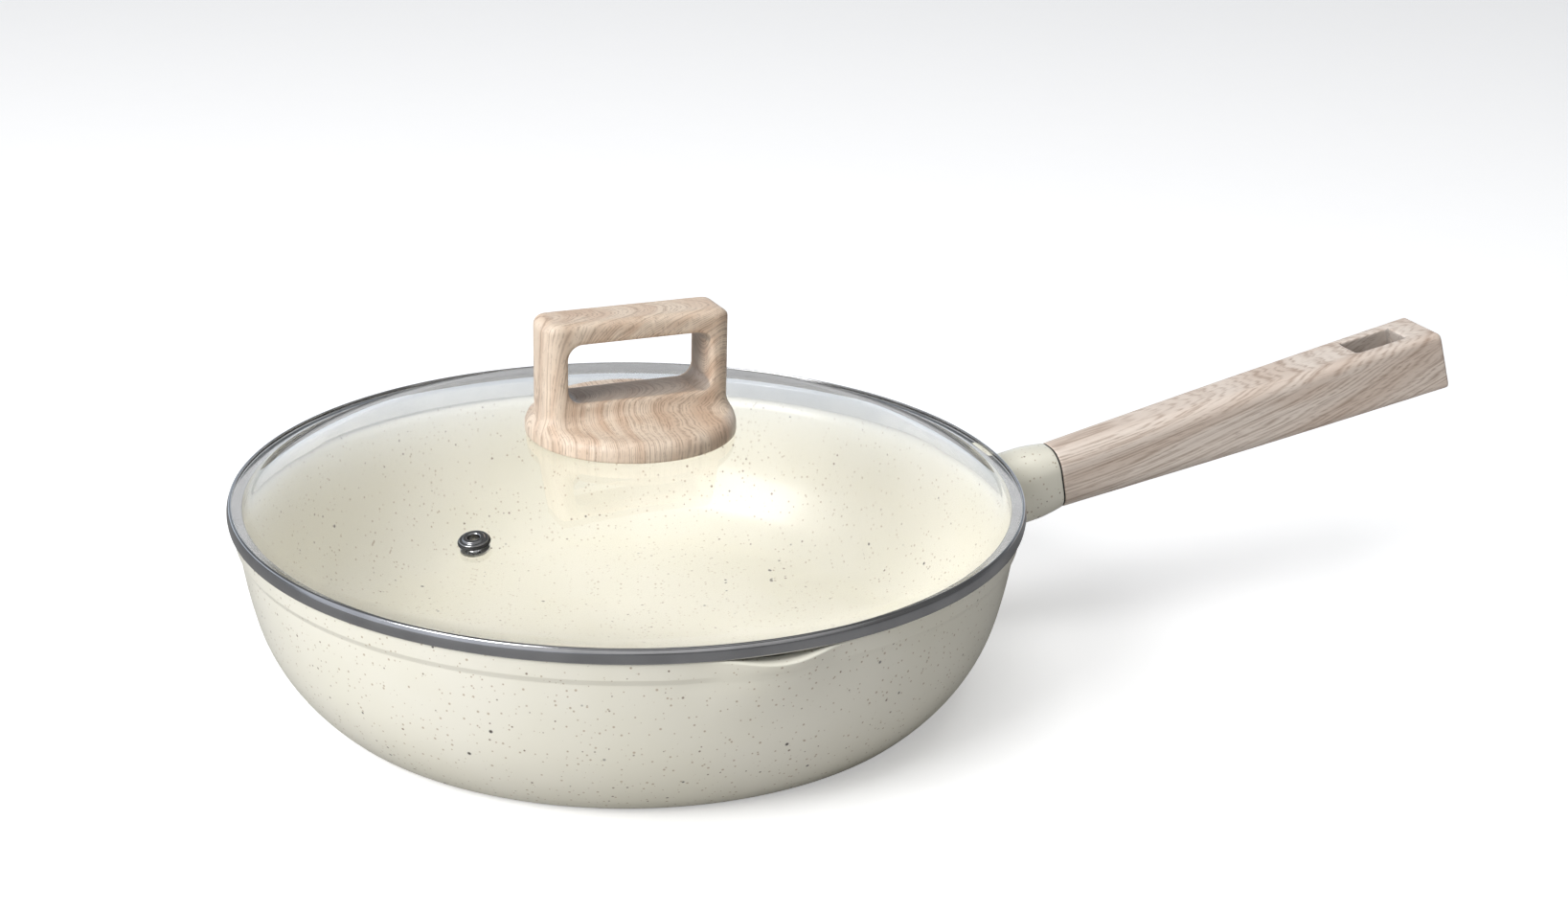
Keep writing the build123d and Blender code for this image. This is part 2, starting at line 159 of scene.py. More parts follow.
def grey(value):
    """A colour with no hue."""
    return (value, value, value, 1.0)


# %% Which rays see the backdrop
def in_sight(tree):
    """1 for rays that come from the camera, straight or through glass, 0 for the others."""
    ray = add_node(tree, "ShaderNodeLightPath").outputs
    straight = math(tree, "MAXIMUM", ray["Is Camera Ray"], ray["Is Transmission Ray"])
    return math(tree, "MULTIPLY", straight, math(tree, "LESS_THAN", ray["Diffuse Depth"], 0.5))


# %% World: white for the camera, a dim room with four glows for the lights
world = bpy.data.worlds.new("studio room")
bpy.context.scene.world = world
world.use_nodes = True
sky = world.node_tree
sky.nodes.clear()
parts = add_node(sky, "ShaderNodeSeparateXYZ")
feed(sky, parts.inputs[0], add_node(sky, "ShaderNodeTexCoord").outputs["Generated"])
to_right, to_back, to_top = parts.outputs
over_foot = spread(sky, to_top, 0.10, 0.22)
under_head = spread(sky, to_top, 0.30, 0.45, 1.0, 0.0)
low_down = spread(sky, to_top, 0.10, 0.50, 1.0, 0.0)
at_left = spread(sky, to_right, -0.9, -0.15, 1.0, 0.0)
at_back = spread(sky, to_back, 0.2, 0.8)
at_front = spread(sky, to_back, -0.75, -0.45, 1.0, 0.0)
front_strip = math(sky, "MULTIPLY", at_front, math(sky, "MULTIPLY", over_foot, under_head))
room = grey(0.13)
for share, glow in (
    (at_left, (0.66, 0.69, 0.75, 1.0)),
    (spread(sky, to_top, 0.84, 0.98), grey(0.55)),
    (math(sky, "MULTIPLY", at_back, low_down), (0.84, 0.93, 1.04, 1.0)),
    (front_strip, grey(0.70)),
):
    room = mixed(sky, share, room, glow)


def background(colour):
    """A background of one colour."""
    node = add_node(sky, "ShaderNodeBackground")
    feed(sky, node.inputs["Color"], colour)
    return node.outputs[0]


sky_end = add_node(sky, "ShaderNodeOutputWorld")
seen = mixed_shader(sky, in_sight(sky), background(room), background(grey(1.0)))
feed(sky, sky_end.inputs[0], seen)
bpy.context.scene.view_settings.view_transform = "Standard"
print("the room's colours take", len(sky.nodes), "nodes")


# %% Soft boxes
bowl_middle = Vector((0.0, 0.0, 0.05))


def soft_box(name, place, size, power):
    """A square area lamp at a place, turned to face the bowl. The power is in watts."""
    lamp = bpy.data.lights.new(name, "AREA")
    lamp.size = size
    lamp.energy = power
    box = bpy.data.objects.new(name, lamp)
    bpy.context.scene.collection.objects.link(box)
    box.location = place
    box.rotation_euler = (bowl_middle - box.location).to_track_quat("-Z", "Y").to_euler()
    return box


soft_box("left box", (-1.35, -0.6, 1.05), 1.0, 23.0)
overhead = soft_box("overhead box", (0.20, -0.10, 1.6), 1.2, 8.5)
overhead.visible_glossy = False
overhead.visible_transmission = False

# %% [markdown]
# ## Finishes
#
# A finish is a node material. Effects that several finishes share are node groups, each
# built once. A group gives out only masks, values or normals, and the Principled shader
# stays in the material, where every plain number sits on its own socket.


# %% A material and a node group, started
def new_material(name, **values):
    """A material with one Principled shader, whose plain values are set by socket name."""
    material = bpy.data.materials.new(name)
    material.use_nodes = True
    shader = material.node_tree.nodes["Principled BSDF"]
    for socket, value in values.items():
        shader.inputs[socket.replace("_", " ")].default_value = value
    return material, material.node_tree, shader


def new_group(name, inputs, outputs):
    """A shader node group. inputs are (name, type, default) and outputs (name, type)."""
    group = bpy.data.node_groups.new(name, "ShaderNodeTree")
    for label, kind, default in inputs:
        socket = group.interface.new_socket(label, in_out="INPUT", socket_type=kind)
        socket.default_value = default
    for label, kind in outputs:
        group.interface.new_socket(label, in_out="OUTPUT", socket_type=kind)
    start = add_node(group, "NodeGroupInput")
    end = add_node(group, "NodeGroupOutput")
    return group, start.outputs, end.inputs


def place_group(tree, group, **values):
    """The group as a node of a material, with its own values."""
    node = add_node(tree, "ShaderNodeGroup", node_tree=group)
    for name, value in values.items():
        feed(tree, node.inputs[name.replace("_", " ")], value)
    return node.outputs


def object_place(tree, turn=(0.0, 0.0, 0.0)):
    """Where a point lies on the object, seen from turned axes."""
    mapping = add_node(tree, "ShaderNodeMapping")
    feed(tree, mapping.inputs["Vector"], add_node(tree, "ShaderNodeTexCoord").outputs["Object"])
    mapping.inputs["Rotation"].default_value = turn
    return mapping.outputs[0]


def noise(tree, place, scale, detail=2.0, roughness=0.5):
    """Noise value at a place."""
    node = add_node(tree, "ShaderNodeTexNoise")
    feed(tree, node.inputs["Vector"], place)
    feed(tree, node.inputs["Scale"], scale)
    feed(tree, node.inputs["Detail"], detail)
    feed(tree, node.inputs["Roughness"], roughness)
    return node.outputs["Fac"]


def raise_bump(tree, shader, height, strength, distance):
    """A Bump node that feeds the shader's normal."""
    bump = add_node(tree, "ShaderNodeBump")
    feed(tree, bump.inputs["Height"], height)
    bump.inputs["Strength"].default_value = strength
    bump.inputs["Distance"].default_value = distance
    feed(tree, shader.inputs["Normal"], bump.outputs["Normal"])


# %% [markdown]
# ### Speckled ceramic coating
#
# The pan is sprayed with a cream ceramic coat that has ground stone in it. Most specks are
# small, faint and brown; a few are larger and nearly black. Each size is a Voronoi pattern
# in space: the surface cuts through small balls round the cell points, and a random value
# for each cell says which balls count, so that the specks aren't evenly spread.

# %% Specks
specks, given, result = new_group(
    "specks",
    [
        ("Place", "NodeSocketVector", (0, 0, 0)),
        ("Per Metre", "NodeSocketFloat", 400.0),
        ("Size", "NodeSocketFloat", 0.12),
        ("Kept", "NodeSocketFloat", 0.7),
    ],
    [("Mask", "NodeSocketFloat")],
)
cells = add_node(specks, "ShaderNodeTexVoronoi", feature="F1")
feed(specks, cells.inputs["Vector"], given["Place"])
feed(specks, cells.inputs["Scale"], given["Per Metre"])
lot = add_node(specks, "ShaderNodeSeparateColor")
feed(specks, lot.inputs[0], cells.outputs["Color"])
reach = math(specks, "MULTIPLY", given["Size"], math(specks, "ADD", lot.outputs[1], 0.5))
ball = math(specks, "SUBTRACT", reach, cells.outputs["Distance"])
ball = math(specks, "DIVIDE", ball, math(specks, "MULTIPLY", reach, 0.5), clamp=True)
kept = math(specks, "LESS_THAN", lot.outputs[0], given["Kept"])
feed(specks, result["Mask"], math(specks, "MULTIPLY", ball, kept))
print("specks have", len(specks.nodes), "nodes")

# %% Coating
coating, tree, shader = new_material(
    "cream ceramic coating",
    Roughness=0.32,
    Coat_Weight=0.35,
    Coat_Roughness=0.16,
    Specular_IOR_Level=0.45,
)
place = object_place(tree)
cloud = noise(tree, place, 18.0, 3.0)
cream_deep, cream_light = (0.850, 0.822, 0.700, 1.0), (0.875, 0.848, 0.740, 1.0)
coat = mixed(tree, spread(tree, cloud, 0.35, 0.65), cream_deep, cream_light)
for per_metre, size, kept_share, depth, colour in (
    (470.0, 0.19, 0.85, 0.62, (0.36, 0.24, 0.13, 1.0)),
    (240.0, 0.105, 0.6, 0.85, (0.17, 0.09, 0.05, 1.0)),
    (120.0, 0.075, 0.45, 0.95, (0.05, 0.035, 0.03, 1.0)),
):
    spots = place_group(
        tree, specks, Place=place, Per_Metre=per_metre, Size=size, Kept=kept_share
    )["Mask"]
    coat = mixed(tree, math(tree, "MULTIPLY", spots, depth), coat, colour)
feed(tree, shader.inputs["Base Color"], coat)
feed(tree, shader.inputs["Roughness"], spread(tree, cloud, 0.3, 0.7, 0.29, 0.36))
# The spray leaves a fine grain, and the last and largest specks stand out of it.
grain = math(tree, "MULTIPLY_ADD", spots, 0.6, noise(tree, place, 900.0))
raise_bump(tree, shader, grain, 0.10, 0.15 * mm)
print("coating has", len(tree.nodes), "nodes")

# %% [markdown]
# ### Printed wood
#
# The grip and the knob are heat-proof plastic with a printed wood film wrapped round them
# by water transfer. The print is a pale, slightly pink oak: fine brown lines that follow
# the growth rings, arches where the rings are cut flat, and short dark pores.
#
# Growth rings are surfaces in space. Each piece hands the group a ring value, a length
# across the rings that is worked out from the place. The group draws the lines at even
# steps of that value, and pores as noise stretched along the grain.

# %% Wood print
wood_print, given, result = new_group(
    "wood print",
    [("Ring", "NodeSocketFloat", 0.0), ("Along", "NodeSocketVector", (0, 0, 0))],
    [("Line", "NodeSocketFloat"), ("Band", "NodeSocketFloat"), ("Pore", "NodeSocketFloat")],
)
tree = wood_print
drift_depth, flutter_depth = 8.0 * mm, 0.7 * mm
fine_pitch, strong_pitch = 1.15 * mm, 3.1 * mm
drift = noise(tree, given["Along"], 0.12)
flutter = noise(tree, given["Along"], 1.0)
ring = math(tree, "MULTIPLY_ADD", drift, drift_depth, given["Ring"])
ring = math(tree, "MULTIPLY_ADD", flutter, flutter_depth, ring)


def streaks(per_metre, along_scale, low, high):
    """Lines that follow the rings at uneven steps, from 0 between them to 1 on them."""
    spot = add_node(tree, "ShaderNodeCombineXYZ")
    feed(tree, spot.inputs[0], math(tree, "MULTIPLY", ring, per_metre))
    feed(tree, spot.inputs[1], math(tree, "MULTIPLY", drift, along_scale))
    value = noise(tree, spot.outputs[0], 1.0, 1.0, 0.5)
    return spread(tree, value, low, high)


def even_lines(pitch, sharp):
    """Lines at every pitch of the ring value, narrower the sharper they are."""
    wave = math(tree, "SINE", math(tree, "MULTIPLY", ring, 2 * pi / pitch))
    return math(tree, "POWER", math(tree, "MULTIPLY_ADD", wave, 0.5, 0.5), sharp)


broken = spread(tree, noise(tree, given["Along"], 1.3, 2.0, 0.6), 0.34, 0.56)
half_broken = math(tree, "MULTIPLY_ADD", broken, 0.5, 0.5)
fine = math(tree, "MULTIPLY", even_lines(fine_pitch, 2.0), streaks(500.0, 4.0, 0.30, 0.58))
fine = math(tree, "MULTIPLY", math(tree, "MULTIPLY", fine, broken), 0.80)
strong = math(tree, "MULTIPLY", even_lines(strong_pitch, 6.0), streaks(230.0, 3.0, 0.38, 0.62))
strong = math(tree, "MULTIPLY", math(tree, "MULTIPLY", strong, half_broken), 0.85)
feed(tree, result["Line"], math(tree, "MAXIMUM", fine, strong))
feed(tree, result["Band"], streaks(95.0, 2.0, 0.40, 0.66))
pore = noise(tree, given["Along"], 2.2, 2.0, 0.7)
feed(tree, result["Pore"], spread(tree, pore, 0.57, 0.72))
print("wood print has", len(wood_print.nodes), "nodes")

# %% Wood finish
line_brown = (0.270, 0.160, 0.100, 1.0)
pore_brown = (0.220, 0.130, 0.085, 1.0)
# Grey of the bare plastic inside the slot and the window, made darker as painted shade.
bare_and_shaded_grey = (0.210, 0.190, 0.175, 1.0)


def wood_finish(name, pale, dark, ring_value, bare_and_shade_value, stretch, turn=(0.0, 0.0, 0.0)):
    """Printed wood with bands of a pale and a darker tone. ring_value and bare_and_shade_value
    build
    nodes from the turned place: the ring length, and a mask of the hole, where the film is
    thin and the grey plastic shows, made darker still as painted shade. stretch scales the
    place, so that noise in it is drawn out along the grain."""
    material, tree, shader = new_material(
        name, Roughness=0.42, Specular_IOR_Level=0.4, Coat_Weight=0.10, Coat_Roughness=0.3
    )
    place = object_place(tree, turn=turn)
    along = add_node(tree, "ShaderNodeVectorMath", operation="MULTIPLY")
    feed(tree, along.inputs[0], place)
    along.inputs[1].default_value = stretch
    drawn = place_group(
        tree, wood_print, Ring=ring_value(tree, place), Along=along.outputs[0]
    )
    colour = pale
    for mask, depth, shade in (
        (drawn["Band"], 0.60, dark),
        (drawn["Line"], 0.66, line_brown),
        (drawn["Pore"], 0.30, pore_brown),
        # The hole mask greys the slot and the window: the bare plastic, with painted shade on top
        # of it.
        (bare_and_shade_value(tree, place), 0.62, bare_and_shaded_grey),
    ):
        colour = mixed(tree, math(tree, "MULTIPLY", mask, depth), colour, shade)
    feed(tree, shader.inputs["Base Color"], colour)
    feed(tree, shader.inputs["Roughness"], spread(tree, drawn["Line"], 0.0, 1.0, 0.40, 0.54))
    dent = math(tree, "ADD", drawn["Line"], drawn["Pore"])
    raise_bump(tree, shader, math(tree, "MULTIPLY", dent, -1.0), 0.25, 0.10 * mm)
    return material


# %% Grain of the grip and of the knob
def split_place(tree, place):
    """The three parts of a place."""
    node = add_node(tree, "ShaderNodeSeparateXYZ")
    feed(tree, node.inputs[0], place)
    return node.outputs["X"], node.outputs["Y"], node.outputs["Z"]


def length_of(tree, *sides):
    """Length of the diagonal that these sides span."""
    total = 0.0
    for side in sides:
        total = math(tree, "MULTIPLY_ADD", side, side, total)
    return math(tree, "SQRT", total)


def inside_box(tree, sides, middles, halves):
    """1 well inside a box, 0 outside it, with a soft change over half a millimetre."""
    share = 1.0
    for side, middle, half_size in zip(sides, middles, halves):
        away = math(tree, "ABSOLUTE", math(tree, "SUBTRACT", side, middle))
        near = spread(tree, away, half_size - 0.2 * mm, half_size + 0.3 * mm, 1.0, 0.0)
        share = math(tree, "MULTIPLY", near, share)
    return share


handle_tilt = radians(11.5)
joint_centre = Vector((174.0, 0.0, 56.1)) * mm
joint_turned = Matrix.Rotation(handle_tilt, 3, "Y") @ joint_centre
gasket_thickness = 0.6 * mm
grip_length = 174.0 * mm
slot_length, slot_width, slot_margin = 23.3 * mm, 12.9 * mm, 13.6 * mm
slot_middle = gasket_thickness + grip_length - slot_margin - slot_length / 2
ring_start, ring_rise, ring_squeeze = 10.0 * mm, 30.0 * mm, 0.28


def grip_rings(tree, place):
    """Rings like long eggs, centred over the pan end of the grip. They run along its sides,
    rise towards its tip, and close into arches on its top."""
    x, y, z = split_place(tree, place)
    start = -ring_squeeze * (joint_turned.x + ring_start)
    run = math(tree, "MULTIPLY_ADD", x, ring_squeeze, start)
    drop = math(tree, "SUBTRACT", joint_turned.z + ring_rise, z)
    return length_of(tree, run, drop, math(tree, "MULTIPLY", y, 1.25))


def grip_slot(tree, place):
    """Mask of the hanging slot."""
    x, y, _ = split_place(tree, place)
    middles = (joint_turned.x + slot_middle, 0.0)
    return inside_box(tree, (x, y), middles, (slot_length / 2, slot_width / 2))


knob_low, knob_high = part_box("knob")
window_half_length, window_half_height = 27.0 * mm, 10.9 * mm
window_half_depth = 9.0 * mm
window_middle = 25.6 * mm
arch_height = 11.0 * mm


def knob_rings(tree, place):
    """Rings that stand up in the foot and the left leg, bend over into the bar, rise to the
    right along it, and close into arches on its top."""
    x, y, z = split_place(tree, place)
    height = math(tree, "SUBTRACT", z, knob_low.z)
    above = math(tree, "SMOOTH_MAX", height, 12.0 * mm, 6.0 * mm)
    rise = math(tree, "MULTIPLY_ADD", above, 1.3, -52.0 * mm)
    bend = spread(tree, x, -45.0 * mm, 10.0 * mm)
    arch = math(tree, "MULTIPLY", math(tree, "MULTIPLY", y, y), 100.0)
    arch = math(tree, "MINIMUM", arch, arch_height)
    ring = math(tree, "MULTIPLY_ADD", x, 0.8, arch)
    return math(tree, "SUBTRACT", ring, math(tree, "MULTIPLY", bend, rise))


def knob_window(tree, place):
    """Mask of the finger window."""
    x, y, z = split_place(tree, place)
    middles = (0.0, 0.0, knob_low.z + window_middle)
    halves = (window_half_length, window_half_depth, window_half_height)
    return inside_box(tree, (x, y, z), middles, halves)


grip_wood = wood_finish(
    "wood print on the grip",
    (0.820, 0.725, 0.640, 1.0),
    (0.620, 0.480, 0.385, 1.0),
    grip_rings,
    grip_slot,
    (60.0, 700.0, 700.0),
    (0, handle_tilt, 0),
)
knob_wood = wood_finish(
    "wood print on the knob",
    (0.820, 0.680, 0.540, 1.0),
    (0.600, 0.400, 0.270, 1.0),
    knob_rings,
    knob_window,
    (420.0, 420.0, 150.0),
)

# %% [markdown]
# ### Steel, glass, silicone and brass
#
# The lid's band is polished steel with the faint lines of the rolls that bent it. The base
# plate is brushed. Both use one group of fine scratches round the axis of the pan. The
# glass lets lamp light straight through to the bowl, as clear glass nearly does, so that
# the inside isn't left noisy and dark.

# %% Scratches round the axis
turned_lines, given, result = new_group(
    "turned lines",
    [("Place", "NodeSocketVector", (0, 0, 0)), ("Fineness", "NodeSocketFloat", 3000.0)],
    [("Value", "NodeSocketFloat")],
)
tree = turned_lines
x, y, z = split_place(tree, given["Place"])
radius = length_of(tree, x, y)
angle = math(tree, "ARCTAN2", y, x)
polar = add_node(tree, "ShaderNodeCombineXYZ")
feed(tree, polar.inputs["X"], math(tree, "MULTIPLY", radius, given["Fineness"]))
feed(tree, polar.inputs["Y"], math(tree, "MULTIPLY", angle, 3.0))
feed(tree, polar.inputs["Z"], math(tree, "MULTIPLY", z, given["Fineness"]))
feed(tree, result["Value"], noise(tree, polar.outputs[0], 1.0, 3.0, 0.6))


def steel_finish(name, colour, smooth, rough, fineness, depth):
    """Steel whose roughness and surface follow lines round the pan's axis."""
    material, tree, shader = new_material(name, Metallic=1.0, Base_Color=colour)
    place = object_place(tree)
    scratch = place_group(tree, turned_lines, Place=place, Fineness=fineness)["Value"]
    stain = spread(tree, noise(tree, place, 60.0, 3.0), 0.35, 0.7)
    stained = tuple(c * 0.86 for c in colour[:3]) + (1.0,)
    feed(tree, shader.inputs["Base Color"], mixed(tree, stain, colour, stained))
    feed(tree, shader.inputs["Roughness"], spread(tree, scratch, 0.3, 0.7, smooth, rough))
    raise_bump(tree, shader, scratch, 0.15, depth)
    return material


polished_steel = steel_finish(
    "polished steel", (0.60, 0.60, 0.61, 1.0), 0.10, 0.20, 2600.0, 0.02 * mm
)
brushed_steel = steel_finish(
    "brushed steel", (0.50, 0.50, 0.50, 1.0), 0.26, 0.42, 5200.0, 0.05 * mm
)

# %% Clear glass
glass, tree, shader = new_material(
    "tempered glass", Roughness=0.01, IOR=1.50, Transmission_Weight=1.0
)
smudge = noise(tree, object_place(tree), 25.0, 4.0)
wiped, smeared = (0.985, 0.985, 0.98, 1.0), (0.995, 0.995, 0.99, 1.0)
tint = mixed(tree, spread(tree, smudge, 0.3, 0.7), wiped, smeared)
feed(tree, shader.inputs["Base Color"], tint)
feed(tree, shader.inputs["Roughness"], spread(tree, smudge, 0.4, 0.7, 0.0, 0.025))
clear = add_node(tree, "ShaderNodeBsdfTransparent")
clear.inputs["Color"].default_value = (0.96, 0.955, 0.95, 1.0)
for_lamps = add_node(tree, "ShaderNodeLightPath").outputs["Is Shadow Ray"]
through = mixed_shader(tree, for_lamps, shader.outputs[0], clear.outputs[0])
feed(tree, tree.nodes["Material Output"].inputs["Surface"], through)


# %% Rubber and brass
def moulded_finish(name, dark, light, rough, grain, **values):
    """A moulded or machined surface: two close shades and a fine, even grain."""
    material, tree, shader = new_material(name, Roughness=rough, **values)
    place = object_place(tree)
    mottle = spread(tree, noise(tree, place, 220.0, 3.0), 0.3, 0.7)
    feed(tree, shader.inputs["Base Color"], mixed(tree, mottle, dark, light))
    duller = math(tree, "MULTIPLY_ADD", mottle, 0.12, rough - 0.06)
    feed(tree, shader.inputs["Roughness"], duller)
    raise_bump(tree, shader, noise(tree, place, grain), 0.2, 0.03 * mm)
    return material


silicone = moulded_finish(
    "dark silicone", (0.022, 0.021, 0.020, 1.0), (0.040, 0.038, 0.036, 1.0), 0.55, 2400.0
)
brass = moulded_finish(
    "brass", (0.62, 0.43, 0.17, 1.0), (0.72, 0.52, 0.24, 1.0), 0.30, 3200.0, Metallic=1.0
)
zinc_steel = moulded_finish(
    "zinc plated steel",
    (0.44, 0.45, 0.46, 1.0),
    (0.56, 0.56, 0.57, 1.0),
    0.28,
    3600.0,
    Metallic=1.0,
)
print("materials:", sorted(m.name for m in bpy.data.materials))

# %% [markdown]
# ## Floor
#
# A plain pale sheet, large enough to have no edge in view. It belongs to the studio, not
# to the pan. A packshot table is lit a little from below, which whitens it, and so this
# sheet glows faintly for the camera. A studio also has dark cards just out of view, so that
# steel has something dark to mirror and pale walls keep their shade. Here the sheet is
# darker for every ray but the camera's, which does the same.

# %% Floor
half_side = 6.0
corners = [(-half_side, -half_side), (half_side, -half_side)]
corners += [(half_side, half_side), (-half_side, half_side)]
sheet = bpy.data.meshes.new("floor")
sheet.from_pydata([(x, y, 0.0) for x, y in corners], [], [(0, 1, 2, 3)])
floor = bpy.data.objects.new("floor", sheet)
bpy.context.scene.collection.objects.link(floor)
paper, tree, shader = new_material(
    "pale paper",
    Roughness=0.9,
    Specular_IOR_Level=0.1,
    Emission_Color=grey(1.0),
    Emission_Strength=0.36,
)
fibre = noise(tree, object_place(tree), 40.0, 4.0)
feed(tree, shader.inputs["Base Color"], mixed(tree, fibre, grey(0.90), grey(0.93)))
glossy = add_node(tree, "ShaderNodeLightPath").outputs["Is Glossy Ray"]
card = add_node(tree, "ShaderNodeBsdfDiffuse")
card_light, card_dark = (0.62, 0.61, 0.60, 1.0), grey(0.25)
feed(tree, card.inputs["Color"], mixed(tree, glossy, card_light, card_dark))
sheet_or_card = mixed_shader(tree, in_sight(tree), card.outputs[0], shader.outputs[0])
feed(tree, tree.nodes["Material Output"].inputs["Surface"], sheet_or_card)
sheet.materials.append(paper)


# %% [markdown]
# ## Meshes from outlines
#
# Most of a pan is turned: an outline in the plane of radius and height, spun about an axis.
# The outline is written as corners, each with its own rounding, because a lathe, a press
# and a coat of enamel never leave a dead sharp edge, and the thin bright line along a
# rounded edge is what makes a render look made of something.


# %% Rounded outlines
nearly_straight = radians(88.5)


def rounded(corners, step=12.0):
    """Points of an open outline. Each corner is (radius, height, rounding), and an arc gets
    a point for every step of so many degrees."""
    points = []
    last = len(corners) - 1
    for number, (r, z, rounding) in enumerate(corners):
        here = Vector((r, z))
        if rounding <= 0 or number in (0, last):
            points.append(here)
            continue
        before = Vector(corners[number - 1][:2]) - here
        after = Vector(corners[number + 1][:2]) - here
        half = before.angle(after) / 2
        if half > nearly_straight:
            points.append(here)
            continue
        setback = min(rounding / tan(half), before.length * 0.49, after.length * 0.49)
        radius = setback * tan(half)
        middle = here + (before.normalized() + after.normalized()).normalized() * radius / sin(half)
        start = here + before.normalized() * setback - middle
        end = here + after.normalized() * setback - middle
        sweep = start.angle_signed(end)
        count = max(2, ceil(abs(degrees(sweep)) / step))
        for index in range(count + 1):
            points.append(middle + Matrix.Rotation(-sweep * index / count, 2) @ start)
    return points


def arc_down(start, radius, lean_from, lean_to, count):
    """Points of an arc that turns between two leans from the vertical, down and inwards."""
    points = []
    for index in range(count + 1):
        lean = lean_from + (lean_to - lean_from) * index / count
        run = radius * (cos(lean_from) - cos(lean))
        drop = radius * (sin(lean) - sin(lean_from))
        points.append((start[0] - run, start[1] - drop, 0.0))
    return points


# %% From points and faces to a piece
weld = 0.0005 * mm


def new_piece(name, points, faces, material, body, slot, *replaced):
    """A closed, smooth piece that rides on a body and stands for CAD nodes."""
    data = bpy.data.meshes.new(name)
    data.from_pydata([tuple(p) for p in points], [], faces)
    work = bmesh.new()
    work.from_mesh(data)
    bmesh.ops.remove_doubles(work, verts=work.verts, dist=weld)
    bmesh.ops.dissolve_degenerate(work, edges=work.edges, dist=weld)
    bmesh.ops.recalc_face_normals(work, faces=work.faces)
    work.to_mesh(data)
    work.free()
    data.materials.append(material)
    data.shade_smooth()
    piece = bpy.data.objects.new(name, data)
    bpy.context.scene.collection.objects.link(piece)
    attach(piece, body)
    if replaced:
        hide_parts(*replaced)
    print(name, "has", len(data.polygons), "faces")
    return piece


def even_shading(piece):
    """Lets the large faces set the normals, so that the small roundings shade crisply."""
    weighted = piece.modifiers.new("even shading", "WEIGHTED_NORMAL")
    weighted.keep_sharp = True
    return piece


def rings_to_faces(ring_count, ring_size, closed=False):
    """Quads between neighbouring rings of points. closed joins the last ring to the first."""
    faces = []
    for ring in range(ring_count if closed else ring_count - 1):
        low = ring * ring_size
        high = (ring + 1) % ring_count * ring_size
        for step in range(ring_size):
            after = (step + 1) % ring_size
            faces.append((low + step, low + after, high + after, high + step))
    return faces


def spun(outline, angles, shape=lambda angle, r, z: (r, z)):
    """Points and faces of a closed outline spun about Z. shape may bend it at each angle."""
    points = []
    for angle in angles:
        for r, z in outline:
            radius, height = shape(angle, r, z)
            points.append((radius * cos(angle), radius * sin(angle), height))
    return points, rings_to_faces(len(angles), len(outline), closed=True)


def even_angles(count):
    """Angles that share the full turn."""
    return [2 * pi * index / count for index in range(count)]


# %% [markdown]
# ## The pan's body
#
# The bowl is cast: a flat foot, a round heel, a belly that turns into a nearly upright
# wall, a small step under a collar, and a flat lip. Inside, the heel is rounder, and a
# ledge under the lip takes the lid's skirt. Under the foot is a shallow recess for the
# induction plate.
#
# The outline is spun about the axis, and while it spins the pouring spout is pushed out of
# it: the wall swells outwards and swallows the step, and the lip sinks a little.

# %% Sizes of the bowl
lip_height = 67.0 * mm
lip_radius = 143.6 * mm
mouth_radius = 140.3 * mm
collar_height = 6.4 * mm
collar_draft = 1.0 * mm
collar_step, step_run = 1.4 * mm, 2.3 * mm
wall_thickness = 3.0 * mm
floor_thickness = 4.5 * mm
ledge_height = lip_height - 8.5 * mm
wall_lean, flare_lean, belly_lean = radians(6.6), radians(14.4), radians(48.0)
inner_belly_lean = radians(36.0)
flare_radius = 183.6 * mm
belly_radius = 63.2 * mm
wall_top = lip_height - collar_height - step_run
wall_radius = lip_radius - collar_draft - collar_step
plate_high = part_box("base_plate")[1]
plate_thickness = plate_high.z
recess_radius = plate_high.x + 0.15 * mm
foot_start = plate_high.x + 2.0 * mm


# %% Outline of the bowl
def bowl_wall(radius, top, bottom, inset, heel_lean):
    """Flare, belly and heel, from the top of the wall down to the floor."""
    flare = arc_down((radius, top), flare_radius - inset, wall_lean, flare_lean, 10)
    belly = arc_down(flare[-1], belly_radius - inset, flare_lean, heel_lean, 16)
    heel_radius = (belly[-1][1] - bottom) / (1 - sin(heel_lean))
    heel = arc_down(belly[-1], heel_radius, heel_lean, pi / 2, 14)
    return flare + belly[1:] + heel[1:]


collar_foot = lip_height - collar_height
outside = bowl_wall(wall_radius, wall_top, 0.0, 0.0, belly_lean)
inside = bowl_wall(
    wall_radius - wall_thickness, ledge_height, floor_thickness, wall_thickness, inner_belly_lean
)
collar = [
    (lip_radius - collar_draft * share, lip_height - collar_height * share, 0.0)
    for share in (0.75, 0.5, 0.25)
]
ledge_edge = ledge_height + mouth_radius - wall_radius + wall_thickness
bowl_corners = (
    [(0.0, plate_thickness, 0.0), (recess_radius, plate_thickness, 0.2 * mm)]
    + [(recess_radius, 0.0, 0.3 * mm), (foot_start, 0.0, 0.0)]
    + outside[::-1][:-1]
    + [(wall_radius, wall_top, 2.0 * mm), (lip_radius - collar_draft, collar_foot, 0.9 * mm)]
    + collar
    + [(lip_radius, lip_height, 0.9 * mm), (mouth_radius, lip_height, 0.7 * mm)]
    + [(mouth_radius, ledge_edge, 0.6 * mm)]
    + inside
    + [(0.0, floor_thickness, 0.0)]
)
bowl_outline = rounded(bowl_corners)
print("bowl outline has", len(bowl_outline), "points")

# %% The spout, as a push on the outline
spout_middle = radians(-88.5)
spout_reach = -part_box("pan_body")[0].y - lip_radius
spout_half_angle = radians(12.5)
spout_fall = 30.0 * mm
spout_dip = 2.2 * mm
spout_half_mouth = 23.0 * mm
spout_blend = 0.5 * mm
sinking_zone, sinking_blend = 8.0 * mm, 7.0 * mm


